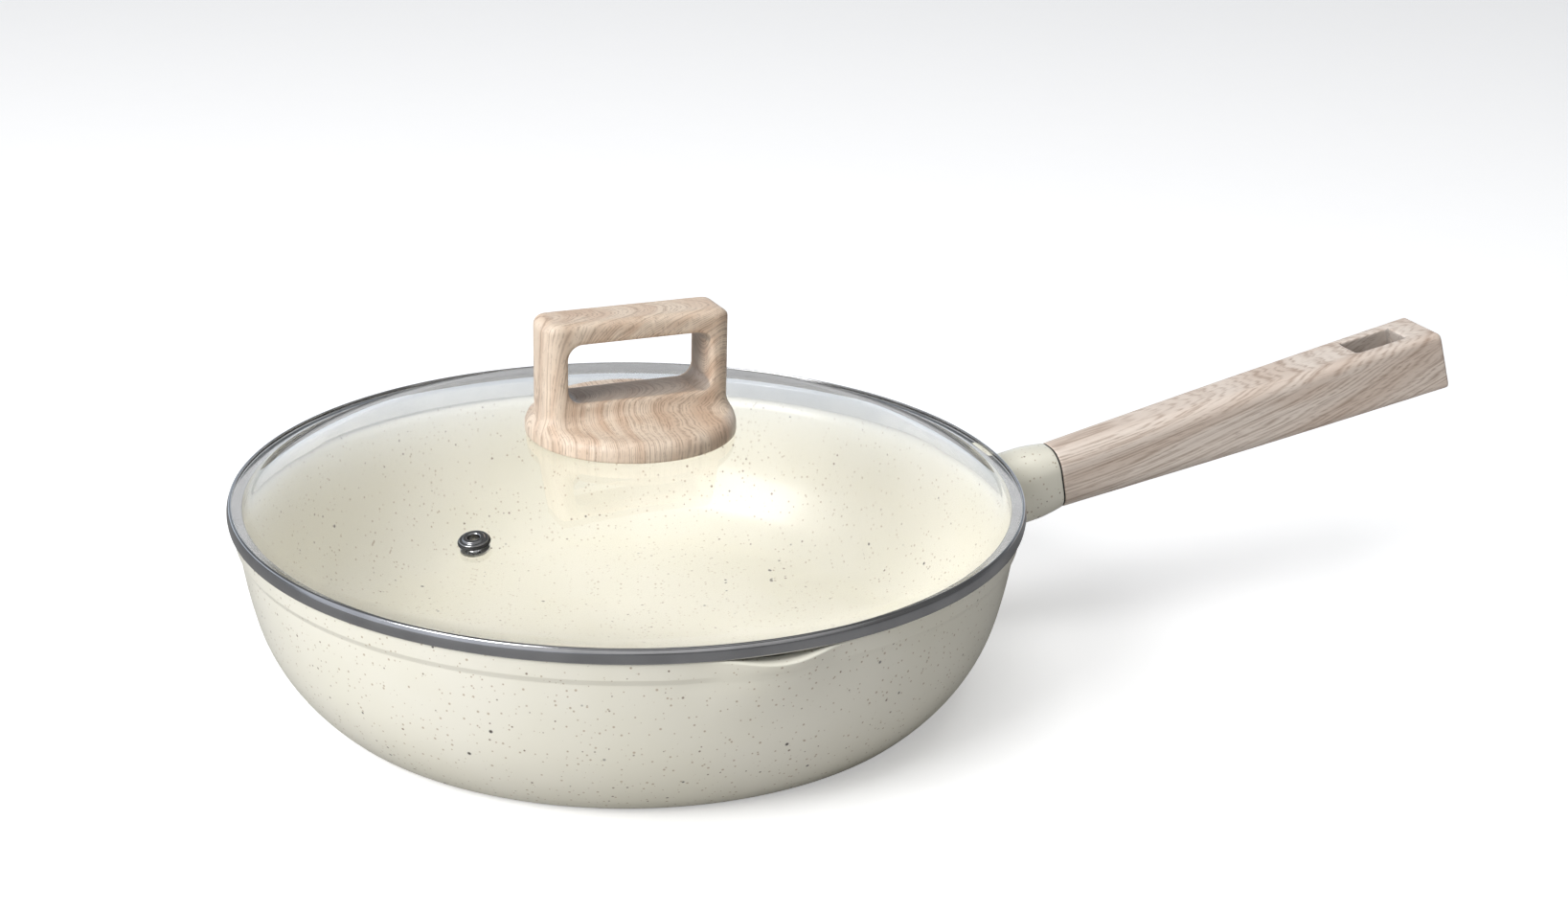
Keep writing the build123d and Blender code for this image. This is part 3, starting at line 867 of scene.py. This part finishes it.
def wall_radius_below(height):
    """Outer radius of the flare at a height under the step."""
    centre_height = wall_top + flare_radius * sin(wall_lean)
    centre_radius = wall_radius - flare_radius * cos(wall_lean)
    return centre_radius + sqrt(flare_radius**2 - (centre_height - height) ** 2)


def outer_radius(height):
    """Outer radius at a height, with the step and the collar."""
    if height >= collar_foot:
        return lip_radius - collar_draft * (lip_height - height) / collar_height
    if height >= wall_top:
        return wall_radius + collar_step * (height - wall_top) / (collar_foot - wall_top)
    return wall_radius_below(height)


def straight_radius(height):
    """Outer radius at a height if the wall ran straight up to the lip, with no step."""
    if height < wall_top:
        return wall_radius_below(height)
    share = (height - wall_top) / (lip_height - wall_top)
    return wall_radius + (lip_radius - wall_radius) * share


def turn_between(angle, middle):
    """Signed angle from a middle to an angle."""
    return (angle - middle + pi) % (2 * pi) - pi


def fade_out(share):
    """From 1 at 0 to 0 at 1 and beyond, with no kink."""
    return cos(pi / 2 * min(abs(share), 1.0)) ** 2


def spout_push(angle, r, z):
    """Where a point of the outline goes at an angle."""
    aside = turn_between(angle, spout_middle)
    radius = r
    down = (lip_height - z) / spout_fall
    push = spout_reach * fade_out(aside / spout_half_angle) * fade_out(down)
    if push > 0:
        old, new = outer_radius(z), straight_radius(z) + push
        near = max(spout_blend - abs(new - old), 0) / spout_blend
        larger = max(old, new) + near**2 * spout_blend / 4 * min(push / spout_blend, 1)
        share = min(max((r - old) / wall_thickness + 1, 0), 1)
        radius = r + (larger - old) * share
    sink = spout_dip * fade_out(r * sin(aside) / spout_half_mouth) * (abs(aside) < pi / 2)
    near_lip = 1 - fade_out(max(z - lip_height + sinking_zone, 0) / sinking_blend)
    return radius, z - sink * near_lip


# %% Spin the bowl, with closer steps at the spout
spout_zone, zone_gap, zone_steps = radians(18.0), 0.01, 36
bowl_angles = [
    angle
    for angle in even_angles(180)
    if abs(turn_between(angle, spout_middle)) > spout_zone + zone_gap
]
for index in range(-zone_steps, zone_steps + 1):
    bowl_angles.append((spout_middle + spout_zone * index / zone_steps) % (2 * pi))
bowl_angles.sort()
bowl_points, bowl_faces = spun(bowl_outline, bowl_angles, spout_push)

# %% [markdown]
# ### The stub
#
# The arm that carries the grip is cast in one with the bowl, so it has no seam: it flows
# out of the wall through a fillet. It is drawn as rings round the handle's axis. Each point
# of a ring looks back along the axis for the wall, and the first rings climb away from it
# along a quarter circle, which leaves the wall at a tangent. The last rings turn in to the
# tenon, which keeps the grip from turning, and to the tapped hole for the bolt.

# %% The handle's axis
handle_along = Vector((cos(handle_tilt), 0.0, sin(handle_tilt)))
handle_up = Vector((-sin(handle_tilt), 0.0, cos(handle_tilt)))
joint_width, joint_tall, joint_corner = 19.6 * mm, 25.4 * mm, 8.0 * mm
tenon_width, tenon_tall, tenon_length = 9.0 * mm, 13.0 * mm, 14.0 * mm


def on_handle(distance, aside, above):
    """A point at a distance along the handle from the joint, aside and above its axis."""
    return joint_centre + handle_along * distance + Vector((0, aside, 0)) + handle_up * above


def box_ring(width, tall, corner, per_corner=9, per_side=4):
    """Points round a rounded rectangle, each with the direction that faces out."""
    quarters = ((1, 1), (-1, 1), (-1, -1), (1, -1))
    middles = [(u * (width / 2 - corner), v * (tall / 2 - corner)) for u, v in quarters]
    ring = []
    for quarter, (middle_u, middle_v) in enumerate(middles):
        for index in range(per_corner):
            angle = pi / 2 * (quarter + index / (per_corner - 1))
            out = (cos(angle), sin(angle))
            ring.append((middle_u + corner * out[0], middle_v + corner * out[1], out))
        start_u, start_v, out = ring[-1]
        next_u, next_v = middles[(quarter + 1) % 4]
        side_u, side_v = next_u + corner * out[0] - start_u, next_v + corner * out[1] - start_v
        for index in range(1, per_side):
            share = index / per_side
            ring.append((start_u + side_u * share, start_v + side_v * share, out))
    return ring


def distance_to_wall(aside, above):
    """How far along the handle's axis the bowl's wall lies, seen from a point beside it.
    Each round steps by what the last one missed."""
    distance = -40.0 * mm
    for _ in range(8):
        point = on_handle(distance, aside, above)
        target = sqrt(straight_radius(min(point.z, lip_height)) ** 2 - aside**2)
        distance += (target - point.x) / cos(handle_tilt)
    return distance


# %% Rings of the stub
stub_swell = 3.2 * mm
stub_neck = 13.0 * mm
stub_fillet = 4.5 * mm
stub_buried = 1.5 * mm
tapped_radius, tapped_end = 2.55 * mm, -14.0 * mm
edge = 0.35 * mm


def stub_ring(swell):
    """The joint's outline, grown all round by half of a swell."""
    return box_ring(joint_width + swell, joint_tall + swell, joint_corner + swell / 2)


stub_rings = []
root = stub_ring(stub_swell)
fillet_steps, neck_steps = 7, 8
for step in range(-1, fillet_steps + 1):
    climb = max(step, 0) / fillet_steps * pi / 2
    out_by = stub_fillet * (1 - sin(climb))
    rise = -stub_buried if step < 0 else stub_fillet * (1 - cos(climb))
    spots = [(u + n[0] * out_by, v + n[1] * out_by) for u, v, n in root]
    stub_rings.append([on_handle(distance_to_wall(u, v) + rise, u, v) for u, v in spots])
for share in (0.3, 0.55, 0.75):
    ring = []
    for u, v, _ in root:
        start = distance_to_wall(u, v) + stub_fillet
        ring.append(on_handle(start + (-stub_neck - start) * share, u, v))
    stub_rings.append(ring)
for step in range(neck_steps):
    back = stub_neck * (1 - step / neck_steps)
    swell = stub_swell * sin(pi / 2 * back / stub_neck)
    stub_rings.append([on_handle(-back, u, v) for u, v, _ in stub_ring(swell)])
stub_rings.append([on_handle(-edge, u, v) for u, v, _ in stub_ring(stub_swell * 0.04)])
inward = box_ring(joint_width - 2 * edge, joint_tall - 2 * edge, joint_corner - edge)
peg = box_ring(tenon_width, tenon_tall, 1.0 * mm)
peg_end = box_ring(tenon_width - edge, tenon_tall - edge, 0.8 * mm)
hole = box_ring(2 * tapped_radius, 2 * tapped_radius, tapped_radius * 0.999)
for distance, outline in (
    (0.0, inward),
    (0.0, peg),
    (tenon_length - 0.5 * mm, peg),
    (tenon_length, peg_end),
    (tenon_length, hole),
    (tapped_end, hole),
):
    stub_rings.append([on_handle(distance, u, v) for u, v, _ in outline])

# %% Join bowl and stub
offset = len(bowl_points)
ring_size = len(stub_rings[0])
stub_points = [point for ring in stub_rings for point in ring]
stub_faces = rings_to_faces(len(stub_rings), ring_size)
stub_faces.append(tuple(range(ring_size)))
stub_faces.append(tuple(range(len(stub_points) - ring_size, len(stub_points))))
pan_faces = bowl_faces + [tuple(offset + i for i in face) for face in stub_faces]
pan_shell = new_piece(
    "pan_shell", bowl_points + stub_points, pan_faces, coating, "pan", "coating", "pan_body"
)
even_shading(pan_shell)

# %% [markdown]
# ## The lid's band
#
# A strip of steel is rolled into a channel that grips the edge of the glass. Its lower
# flange lies on the pan's lip, and a skirt drops inside the mouth and centres the lid. The
# fold on top is rounded and lies close on the glass.

# %% Band
rim_low, rim_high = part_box("lid_rim")
band_radius = rim_high.x
strip = 0.6 * mm
skirt_radius = 139.6 * mm
fold_radius = band_radius - 1.75 * mm
band_top = rim_high.z
flange_top = lip_height + strip
band_corners = [
    (skirt_radius - strip, 0.5 * (rim_low.z + lip_height), 0.0),
    (skirt_radius - strip, rim_low.z, 0.25 * mm),
    (skirt_radius, rim_low.z, 0.25 * mm),
    (skirt_radius, lip_height, 0.5 * mm),
    (band_radius - 0.35 * mm, lip_height, 0.7 * mm),
    (band_radius, lip_height + 2.2 * mm, 5.0 * mm),
    (band_radius - 0.15 * mm, band_top - 1.7 * mm, 3.0 * mm),
    (band_radius - 0.70 * mm, band_top - 0.05 * mm, 0.9 * mm),
    (fold_radius, band_top, 0.28 * mm),
    (fold_radius + 0.05 * mm, band_top - strip, 0.15 * mm),
    (band_radius - strip - 0.4 * mm, band_top - strip, 0.6 * mm),
    (band_radius - strip, flange_top, 0.3 * mm),
    (skirt_radius - strip, flange_top, 0.5 * mm),
]
band_outline = rounded(band_corners + band_corners[:1])[:-1]
band_points, band_faces = spun(band_outline, even_angles(240))
steel_band = new_piece(
    "steel_band", band_points, band_faces, polished_steel, "lid", "steel", "lid_rim"
)
even_shading(steel_band)

# %% [markdown]
# ## The glass
#
# The lid is pressed from one flat sheet: a flat margin inside the band, a tight foot, a
# shoulder and the main dome. Clear glass shows every facet of a coarse mesh as a kink in
# what it mirrors, so the sheet is spun from its arcs with many more points than its CAD
# mesh has. The hole for the steam vent is off the axis, so it is cut with a Boolean.

# %% Sizes of the glass
glass_thickness, fit_gap = 4.0 * mm, 0.1 * mm
margin_top = flange_top + fit_gap + glass_thickness
margin_radius = fold_radius - 2.6 * mm
dome_lean, shoulder_lean = radians(14.0), radians(30.4)
shoulder_radius, foot_radius = 80.0 * mm, 8.0 * mm
screw_hole_radius, vent_hole_radius = 3.5 * mm, 2.95 * mm
foot_run = foot_radius * sin(shoulder_lean)
shoulder_run = shoulder_radius * (sin(shoulder_lean) - sin(dome_lean))
dome_radius = (margin_radius - foot_run - shoulder_run) / sin(dome_lean)


# %% One face of the glass
def lean_steps(start, end, count):
    """Leans from a start to an end, in even steps."""
    return [start + (end - start) * index / count for index in range(count + 1)]


def glass_face(inset):
    """Points of the upper face, or of a face this far below it, from the margin inwards."""
    last = asin(screw_hole_radius / (dome_radius - inset))
    points = []
    r, z, lean = margin_radius, margin_top, 0.0
    for radius, end, count in (
        (-foot_radius, shoulder_lean, 10),
        (shoulder_radius, dome_lean, 12),
        (dome_radius, last, 36),
    ):
        centre_r, centre_z = r - radius * sin(lean), z - radius * cos(lean)
        for lean in lean_steps(lean, end, count):
            r, z = centre_r + radius * sin(lean), centre_z + radius * cos(lean)
            points.append((r - inset * sin(lean), z - inset * cos(lean), 0.0))
    return points


# %% Spin the glass
ground_edge = 1.2 * mm
glass_radius = band_radius - strip - fit_gap
glass_corners = (
    glass_face(glass_thickness)[::-1]
    + [(glass_radius, margin_top - glass_thickness, ground_edge)]
    + [(glass_radius, margin_top, ground_edge)]
    + glass_face(0.0)
)
glass_points, glass_faces = spun(rounded(glass_corners), even_angles(240))
clear_lid = new_piece("clear_lid", glass_points, glass_faces, glass, "lid", "glass", "lid_glass")

# %% Where the vent sits on the dome
dome_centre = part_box("lid_glass")[1].z - dome_radius
vent_distance = 100.8 * mm
vent_azimuth = radians(-139.0)
vent_lean = asin(vent_distance / dome_radius)
vent_height = dome_centre + sqrt(dome_radius**2 - vent_distance**2)
vent_place = (
    Matrix.Rotation(vent_azimuth, 4, "Z")
    @ Matrix.Translation((vent_distance, 0, vent_height))
    @ Matrix.Rotation(vent_lean, 4, "Y")
)
print("the vent stands", round(degrees(vent_lean), 1), "degrees off upright")

# %% Cut its hole
drill_data = bpy.data.meshes.new("drill")
drill_work = bmesh.new()
bmesh.ops.create_cone(
    drill_work,
    cap_ends=True,
    segments=48,
    radius1=vent_hole_radius,
    radius2=vent_hole_radius,
    depth=4 * glass_thickness,
    matrix=vent_place,
)
drill_work.to_mesh(drill_data)
drill_work.free()
drill = bpy.data.objects.new("drill", drill_data)
bpy.context.scene.collection.objects.link(drill)
cut = clear_lid.modifiers.new("vent hole", "BOOLEAN")
cut.object = drill
bpy.context.view_layer.update()
cut_lid = clear_lid.evaluated_get(bpy.context.evaluated_depsgraph_get())
clear_lid.data = bpy.data.meshes.new_from_object(cut_lid)
clear_lid.data.set_sharp_from_angle(angle=radians(40))
clear_lid.modifiers.clear()
bpy.data.objects.remove(drill)
print("the drilled glass has", len(clear_lid.data.polygons), "faces")

# %% [markdown]
# ## The steam vent
#
# A small hollow rivet goes through the glass: a stepped head, a tube, and a lower end that
# is turned over a washer. It is spun upright at the origin and then set down square on the
# dome. A soft dark ring lies between its head and the glass.

# %% Pieces turned upright and set on the dome
def turned_on_dome(name, corners, material, slot, node):
    """A closed outline spun upright and set down square on the dome, where the vent is."""
    outline = rounded(corners + corners[:1], 18.0)[:-1]
    points, faces = spun(outline, even_angles(64))
    points = [vent_place @ Vector(point) for point in points]
    return even_shading(new_piece(name, points, faces, material, "lid", slot, node))


# %% Eyelet
bore, tube = 2.1 * mm, 2.7 * mm
head, step_radius, sheet_steel = 5.0 * mm, 3.7 * mm, 0.6 * mm
turned_over = tube + 0.8 * mm
ring_top = 1.0 * mm
under = -4.9 * mm
turned_on_dome(
    "steam_eyelet",
    [
        (bore, 0.0, 0.0),
        (bore, under - sheet_steel, 0.5 * mm),
        (turned_over, under - sheet_steel, 0.25 * mm),
        (turned_over, under, 0.2 * mm),
        (tube, under, 0.1 * mm),
        (tube, ring_top, 0.1 * mm),
        (head, ring_top, 0.25 * mm),
        (head, ring_top + sheet_steel, 0.3 * mm),
        (step_radius, ring_top + sheet_steel, 0.15 * mm),
        (step_radius, ring_top + 2 * sheet_steel, 0.4 * mm),
        (bore, ring_top + 2 * sheet_steel, 0.5 * mm),
    ],
    polished_steel,
    "bright_steel",
    "vent_eyelet",
)

# %% Ring under its head
ring_bore, ring_radius, ring_foot = tube + 0.05 * mm, 5.5 * mm, 0.02 * mm
turned_on_dome(
    "vent_ring",
    [
        (ring_bore, ring_top / 2, 0.0),
        (ring_bore, ring_foot, 0.1 * mm),
        (ring_radius, ring_foot, 0.3 * mm),
        (ring_radius, ring_top, 0.4 * mm),
        (ring_bore, ring_top, 0.1 * mm),
    ],
    silicone,
    "silicone",
    "vent_gasket",
)

# %% [markdown]
# ## Knob and grip: blended like clay
#
# The knob is one moulding in which a bridge flows into a round foot, and the grip goes from
# a soft oval at the pan to a crisp block with a slot at its end. Such shapes are easiest to
# say as a field: a number at every point in space, negative inside the piece, zero on its
# skin. Fields can be joined with a fillet and cut with a rounded edge, each by a short
# formula. A net of quads is then drawn over the places where the field changes sign, and
# every knot of the net is pulled onto the zero.


# %% Fields
def box_field(u, v, half_u, half_v, corner):
    """Distance to a rounded rectangle in the plane of u and v."""
    du = np.abs(u) - half_u + corner
    dv = np.abs(v) - half_v + corner
    outside_part = np.hypot(np.maximum(du, 0), np.maximum(dv, 0))
    return outside_part + np.minimum(np.maximum(du, dv), 0) - corner


def meet(a, b, rounding):
    """Where both fields are inside, with a rounded edge between them."""
    corner = np.hypot(np.maximum(a + rounding, 0), np.maximum(b + rounding, 0))
    return corner + np.minimum(np.maximum(a, b) + rounding, 0) - rounding


def join(a, b, fillet):
    """Where either field is inside, with a fillet in the corner between them."""
    corner = np.hypot(np.maximum(fillet - a, 0), np.maximum(fillet - b, 0))
    return np.maximum(np.minimum(a, b), fillet) - corner


# %% A net over the zero of a field
def net(field, low, high, cell):
    """Points and quads of the surface on which a field is zero."""
    axes = [np.arange(a, b + cell, cell) for a, b in zip(low, high)]
    grid = np.stack(np.meshgrid(*axes, indexing="ij"), axis=-1)
    value = field(grid)
    cells = tuple(n - 1 for n in value.shape)
    total, hits, crossed = np.zeros(cells + (3,)), np.zeros(cells), []
    # Where the field changes sign along an edge of the grid, the crossing point counts for
    # each of the four cells that share the edge.
    for axis in range(3):
        order = [axis, (axis + 1) % 3, (axis + 2) % 3]
        values, spots = np.transpose(value, order), np.transpose(grid, order + [3])
        sums, counts = np.transpose(total, order + [3]), np.transpose(hits, order)
        here, there = values[:-1], values[1:]
        cross = (here < 0) != (there < 0)
        share = np.where(cross, here / np.where(cross, here - there, 1), 0)
        point = (spots[:-1] + share[..., None] * (spots[1:] - spots[:-1])) * cross[..., None]
        _, wide, tall = counts.shape
        for b in (0, 1):
            for c in (0, 1):
                span = (slice(None), slice(b, b + wide), slice(c, c + tall))
                sums += point[span]
                counts += cross[span]
        crossed.append((order, cross, here < 0))
    # A knot lies at the mean of its cell's crossing points.
    knots = np.full(cells, -1)
    knots[hits > 0] = np.arange(np.count_nonzero(hits))
    points = total[hits > 0] / hits[hits > 0][:, None]
    # The four cells round a crossed edge make a quad, turned so that it faces out.
    faces = []
    for order, cross, inside_first in crossed:
        turned = np.transpose(knots, order)
        middle = (slice(None), slice(1, -1), slice(1, -1))
        lower, upper = turned[:, :-1], turned[:, 1:]
        corners = (lower[:, :, :-1], upper[:, :, :-1], upper[:, :, 1:], lower[:, :, 1:])
        quads = np.stack([corner[cross[middle]] for corner in corners], axis=1)
        turned_over = ~inside_first[middle][cross[middle]]
        quads[turned_over] = quads[turned_over][:, ::-1]
        faces += quads.tolist()
    # Each knot steps along the slope of the field until it lies on the zero.
    nudge = 0.02 * cell
    for _ in range(4):
        here = field(points)
        slope = np.zeros_like(points)
        for axis in range(3):
            shift = np.zeros(3)
            shift[axis] = nudge
            slope[:, axis] = (field(points + shift) - field(points - shift)) / (2 * nudge)
        steep = np.maximum((slope**2).sum(1), 0.25)
        points = points - np.clip(here / steep, -cell / 3, cell / 3)[:, None] * slope
    return points, faces


# %% [markdown]
# ### The knob
#
# A round foot 77 mm across with a rounded shoulder swells up to the bridge. The bridge is a
# block 70 mm long with a finger window through it. Underneath, the foot is hollow, with a
# boss in the middle for the threaded insert.

# %% Field of the knob
knob_turn = radians(2.5)
knob_radius = knob_high.x
flange_height, shoulder_round = 7.2 * mm, 4.4 * mm
crown_rise = 4.0 * mm
bridge_height = knob_high.z - knob_low.z
half_length, half_width = 35.0 * mm, 10.5 * mm
side_corner, top_corner, top_round = 6.0 * mm, 4.5 * mm, 3.2 * mm
window_corner, window_round = 5.5 * mm, 2.0 * mm
bridge_fillet, rim_round, hollow_corner = 4.0 * mm, 0.6 * mm, 1.0 * mm
foot_hollow = knob_radius - 3.6 * mm
foot_ceiling = 3.6 * mm
boss_radius, boss_foot = 7.5 * mm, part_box("knob_insert")[0].z - knob_low.z
insert_radius, insert_length = 4.0 * mm, 10.0 * mm
sharp = 0.1 * mm


def knob_field(point):
    """The knob about its own axis, with its rim at height 0."""
    x, y, z = point[..., 0], point[..., 1], point[..., 2]
    r = np.hypot(x, y)
    block = box_field(x, y, half_length, half_width, side_corner)
    bridge = meet(block, z - bridge_height, top_round)
    bridge = meet(bridge, foot_ceiling - z, sharp)
    middle = bridge_height / 2
    front_view = box_field(x, z - middle, half_length, middle, top_corner)
    bridge = np.maximum(bridge, np.where(z > middle, front_view, -1))
    window = box_field(
        x, z - window_middle, window_half_length, window_half_height, window_corner
    )
    bridge = meet(bridge, -window, window_round)
    swell = np.cos(pi / 2 * np.minimum(r / (knob_radius - shoulder_round), 1)) ** 2
    foot = meet(r - knob_radius, z - flange_height - crown_rise * swell, shoulder_round)
    solid = meet(join(bridge, foot, bridge_fillet), -z, rim_round)
    hollow = meet(r - foot_hollow, z - foot_ceiling, hollow_corner)
    boss = np.maximum(r - boss_radius, boss_foot - z)
    solid = np.maximum(solid, -np.maximum(hollow, -boss))
    insert = np.maximum(r - insert_radius, z - boss_foot - insert_length)
    return np.maximum(solid, -insert)


# %% Net of the knob
margin, net_cell = 1.5 * mm, 0.8 * mm
reach = knob_radius + margin
points, faces = net(
    knob_field, (-reach, -reach, -margin), (reach, reach, bridge_height + margin), net_cell
)
knob_place = Matrix.Translation((0, 0, knob_low.z)) @ Matrix.Rotation(knob_turn, 4, "Z")
points = [knob_place @ Vector(point) for point in points]
new_piece("wood_knob", points, faces, knob_wood, "lid", "wood_look", "knob")

# %% [markdown]
# ### The grip
#
# The section goes from 19.6 by 25.4 mm with soft corners to 26.8 by 24.9 mm with crisp
# ones. The end face leans out at the bottom. The pan hangs on a hook by a slot near the
# end, and the bolt goes in through that slot and down a well.

# %% Field of the grip
tip_width, tip_tall, tip_corner = 26.8 * mm, 24.9 * mm, 2.4 * mm
tip_lean, tip_round = radians(6.0), 1.3 * mm
joint_round = 0.4 * mm
grip_swell = 0.8 * mm
slot_corner, slot_round = 1.5 * mm, 0.8 * mm
socket_corner, tenon_gap = 0.5 * mm, 0.2 * mm
bolt_hole_radius, well_radius, bolt_seat = 2.75 * mm, 5.5 * mm, 48.0 * mm


def grip_field(point):
    """The grip along its own axis: distance from the joint, aside, and above."""
    d, u, v = point[..., 0], point[..., 1], point[..., 2]
    share = np.clip((d - gasket_thickness) / grip_length, 0, 1)
    half_u = (joint_width + (tip_width - joint_width) * share) / 2
    half_v = (joint_tall + (tip_tall - joint_tall) * share) / 2
    half_v = half_v + grip_swell / 2 * np.sin(pi * share)
    corner = joint_corner + (tip_corner - joint_corner) * share
    bar = box_field(u, v, half_u, half_v, corner)
    end = (d - gasket_thickness - grip_length) * cos(tip_lean) + v * sin(tip_lean)
    bar = meet(bar, end, tip_round)
    bar = meet(bar, gasket_thickness - d, joint_round)
    slot = box_field(d - slot_middle, u, slot_length / 2, slot_width / 2, slot_corner)
    bar = meet(bar, -slot, slot_round)
    tenon = box_field(u, v, tenon_width / 2, tenon_tall / 2, socket_corner)
    socket = np.maximum(tenon, d - tenon_length) - tenon_gap
    from_axis = np.hypot(u, v)
    hole = np.maximum(from_axis - bolt_hole_radius, d - bolt_seat)
    well = np.maximum(from_axis - well_radius, np.maximum(bolt_seat - d, d - slot_middle))
    bored = np.minimum(np.minimum(socket, hole), well)
    return np.maximum(bar, -bored)


# %% Net of the grip
half_reach = tip_width / 2 + margin
points, faces = net(
    grip_field,
    (gasket_thickness - margin, -half_reach, -half_reach),
    (gasket_thickness + grip_length + 2 * margin, half_reach, half_reach),
    net_cell,
)
points = [on_handle(*point) for point in points]
new_piece("wood_grip", points, faces, grip_wood, "pan", "wood_look", "handle_grip")


# %% [markdown]
# ## Parts that keep their CAD mesh
#
# The base plate and the small screws, washers and rings are already the shape of the real
# ones, so they only get their finish.

# %% Finishes for the CAD parts
def finish(material, *names):
    """Gives CAD nodes a finish."""
    for name in names:
        for slot in nodes[name].material_slots:
            slot.material = material


finish(brushed_steel, "base_plate")
finish(zinc_steel, "handle_bolt", "handle_flat_washer", "handle_spring_washer", "vent_washer")
finish(zinc_steel, "knob_screw", "knob_flat_washer", "knob_spring_washer")
finish(silicone, "handle_gasket", "knob_upper_gasket", "knob_lower_gasket")
finish(brass, "knob_insert")

bpy.context.view_layer.update()
